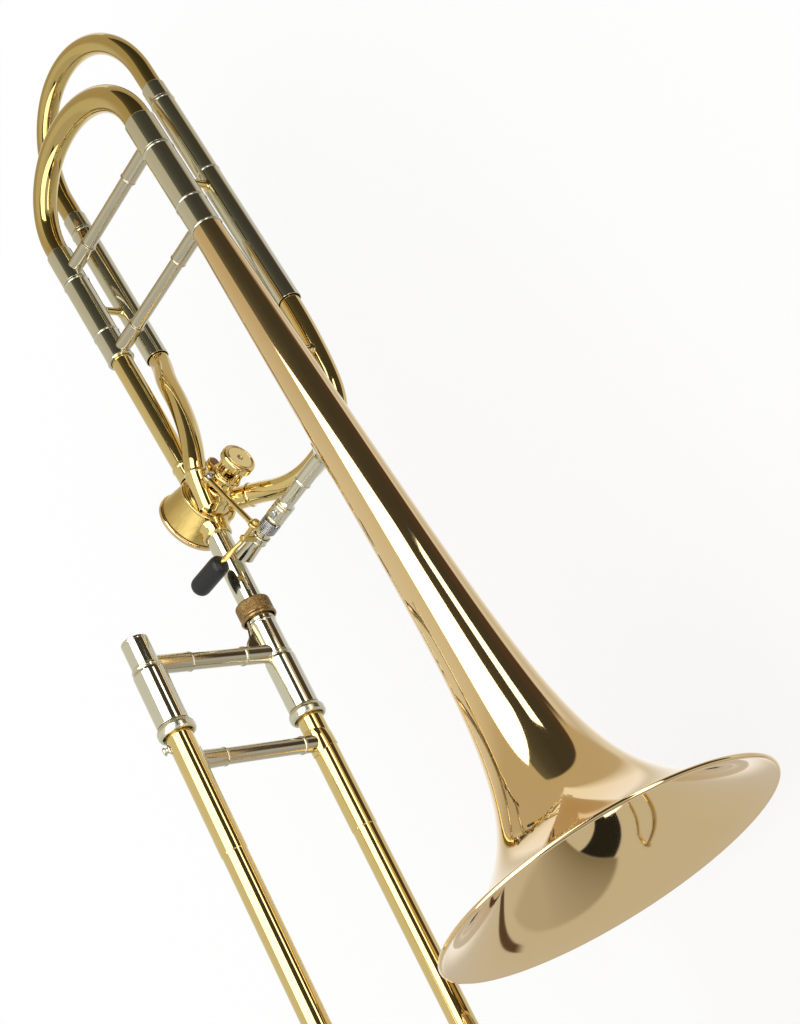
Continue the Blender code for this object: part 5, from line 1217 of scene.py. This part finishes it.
class TROMBONE_OT_stage(bpy.types.Operator):
    """Sets up the white floor, the studio that the metal mirrors, its lamps and the camera"""

    bl_idname = "trombone.stage"
    bl_label = "Studio"

    def execute(self, context):
        self.floor()
        self.world()
        self.lamps()
        self.camera()
        context.scene.view_settings.view_transform = "Standard"
        return {"FINISHED"}

    def floor(self):
        """Matt white paint, which keeps the object's soft shadow, and is partly seen as plain white."""
        material, tree, _ = new_material("white_studio_sweep")
        paint = node(tree, "ShaderNodeBsdfDiffuse", {"Color": (1, 1, 1, 1)})
        glow = node(tree, "ShaderNodeEmission", {"Color": (1, 1, 1, 1), "Strength": 1.0})
        rays = node(tree, "ShaderNodeLightPath").outputs
        seen = maths(tree, "ADD", rays["Is Camera Ray"], rays["Is Glossy Ray"])
        seen = maths(tree, "ADD", seen, rays["Is Transmission Ray"])
        share = maths(tree, "MULTIPLY", seen, PLAIN_SHARE)
        mix = node(tree, "ShaderNodeMixShader", {0: share, 1: paint.outputs[0], 2: glow.outputs[0]})
        node(tree, "ShaderNodeOutputMaterial", {"Surface": mix.outputs["Shader"]})
        low, reach = CAD_BOX[0][2] - FLOOR_GAP, FLOOR_REACH
        corners = [(-reach, -reach, low), (reach, -reach, low), (reach, reach, low), (-reach, reach, low)]
        studio_sheet("floor", corners, material).visible_glossy = False

    def world(self):
        """The studio round the object. Camera rays see plain white, and polished metal sees its walls.

        A direction is read as its turn about the slide's length, from the right over the top to the
        left, and as its lean along the slide. The wall's shades are given by turn, in degrees: warm
        paper on one side, the unlit room overhead, and pale paper on the other side.
        """
        world = bpy.data.worlds.new("studio")
        bpy.context.scene.world = world
        world.use_nodes = True
        tree = world.node_tree
        tree.nodes.clear()
        way = node(tree, "ShaderNodeTexCoord").outputs["Generated"]
        x, lean, z = node(tree, "ShaderNodeSeparateXYZ", {"Vector": way}).outputs
        turn = maths(tree, "ARCTAN2", z, x)
        paper = ((-127, PALE), (-108, BEIGE), (-88, PALE), (-70, WHITE), (-30, WHITE), (-8, WARM), (97, WARM))
        near = ((-180, DARK), (-160, DARK), (-150, BROWN), (-131, BROWN), *paper)
        near += ((99, OLIVE), (125, DUSK), (160, DARK), (180, DARK))
        # Farther back the paper is dimmer and yellower
        swapped = {WARM: STRAW, WHITE: YELLOWED}
        far = [(degrees, swapped.get(level, level)) for degrees, level in near]
        shade = blend(tree, past(tree, (lean, -0.40, -0.68)), wall(tree, turn, near), wall(tree, turn, far))
        shade = blend(tree, past(tree, (lean, 0.05, 0.30)), shade, (*BEIGE, 1))
        # The dark wall ends at a slanting edge far back, with light paper beyond it
        light = [(degrees, WHITE if level == WHITE else STRAW) for degrees, level in paper]
        light = wall(tree, turn, [(-180, STRAW), *light, (180, STRAW)])
        slant = self.along(tree, way, (0.81, 0.0, -0.587))
        shade = blend(tree, past(tree, (slant, -0.215, -0.185), (lean, -0.60, -0.70)), shade, light)
        # Ahead of the bell stands a dim cloth that darkens upwards, with the room's dark door above it
        cloth = blend(tree, remap(tree, z, -0.55, 0.16), (*CLOTH_LOW, 1), (*CLOTH_HIGH, 1))
        ahead = (lean, 0.50, 0.62)
        shade = blend(tree, past(tree, ahead, (x, -0.03, -0.08), (z, 0.20, 0.15)), shade, cloth)
        jamb = self.along(tree, way, (0.87, 0.0, -0.49))
        door = past(tree, ahead, (jamb, -0.155, -0.18), (jamb, -0.55, -0.53), (z, 0.15, 0.20))
        shade = blend(tree, door, shade, (*DOORWAY, 1))
        # Low down ahead, a dark seam runs between two sheets of paper
        seam = past(tree, (x, 0.05, 0.07), (x, 0.15, 0.13), (z, -0.68, -0.74), (lean, 0.26, 0.30))
        shade = blend(tree, seam, shade, (*SEAM, 1))
        # Plain white for everything except what metal mirrors
        glossy = node(tree, "ShaderNodeLightPath").outputs["Is Glossy Ray"]
        walls = node(tree, "ShaderNodeBackground", {"Color": shade, "Strength": 1.0})
        plain = node(tree, "ShaderNodeBackground", {"Color": (1, 1, 1, 1), "Strength": 1.0})
        mix = node(tree, "ShaderNodeMixShader", {0: glossy, 1: plain.outputs[0], 2: walls.outputs[0]})
        node(tree, "ShaderNodeOutputWorld", {"Surface": mix.outputs["Shader"]})

    def lamps(self):
        """Two soft lamps that only metal sees: a wide box overhead and a long strip at one side."""
        for name, power, corners in LAMPS:
            material, tree, _ = new_material(f"{name}_cloth")
            glow = node(tree, "ShaderNodeEmission", {"Color": LAMP_TINT, "Strength": power})
            node(tree, "ShaderNodeOutputMaterial", {"Surface": glow.outputs["Emission"]})
            lamp = studio_sheet(name, corners, material)
            lamp.visible_camera = lamp.visible_diffuse = lamp.visible_shadow = False
            lamp.visible_transmission = lamp.visible_volume_scatter = False

    def along(self, tree, way, axis):
        """How far a direction points along an axis."""
        return node(tree, "ShaderNodeVectorMath", {0: way, 1: axis}, operation="DOT_PRODUCT").outputs["Value"]

    def camera(self):
        """The photograph's point of view."""
        data = bpy.data.cameras.new("camera")
        data.sensor_width = CAMERA_SENSOR
        data.lens = CAMERA_LENS
        data.shift_x, data.shift_y = CAMERA_SHIFT
        camera = bpy.data.objects.new("camera", data)
        bpy.context.scene.collection.objects.link(camera)
        turn = Matrix(CAMERA_WAYS).transposed().to_4x4()
        camera.matrix_world = Matrix.Translation(CAMERA_PLACE) @ turn
        bpy.context.scene.camera = camera


class TROMBONE_PT_panel(bpy.types.Panel):
    """Lists the pieces in the sidebar"""

    bl_label = "Trombone"
    bl_idname = "TROMBONE_PT_panel"
    bl_space_type = "VIEW_3D"
    bl_region_type = "UI"
    bl_category = "Trombone"

    def draw(self, context):
        for operator in OPERATORS:
            self.layout.operator(operator.bl_idname)
        for name in GROUPS:
            settings = getattr(context.scene, name)
            box = self.layout.box()
            for key in settings.__annotations__:
                box.prop(settings, key)


OPERATORS = (
    TROMBONE_OT_finishes,
    TROMBONE_OT_inner_slide,
    TROMBONE_OT_lock_nut,
    TROMBONE_OT_outer_slide,
    TROMBONE_OT_water_key,
    TROMBONE_OT_bell,
    TROMBONE_OT_neckpipe,
    TROMBONE_OT_main_tuning,
    TROMBONE_OT_f_tubing,
    TROMBONE_OT_valve,
    TROMBONE_OT_trigger,
    TROMBONE_OT_link_rod,
    TROMBONE_OT_stage,
)
GROUPS = {"slide_sizes": SlideSizes, "bell_sizes": BellSizes, "finishes": Finishes}


def register():
    for group in (*GROUPS.values(), *OPERATORS, TROMBONE_PT_panel):
        bpy.utils.register_class(group)
    for name, group in GROUPS.items():
        setattr(bpy.types.Scene, name, bpy.props.PointerProperty(type=group))


def unregister():
    for name in GROUPS:
        delattr(bpy.types.Scene, name)
    for group in (TROMBONE_PT_panel, *reversed(OPERATORS), *GROUPS.values()):
        bpy.utils.unregister_class(group)


def main():
    register()
    for operator in OPERATORS:
        getattr(bpy.ops.trombone, operator.bl_idname.split(".")[1])()


if __name__ == "__main__":
    main()
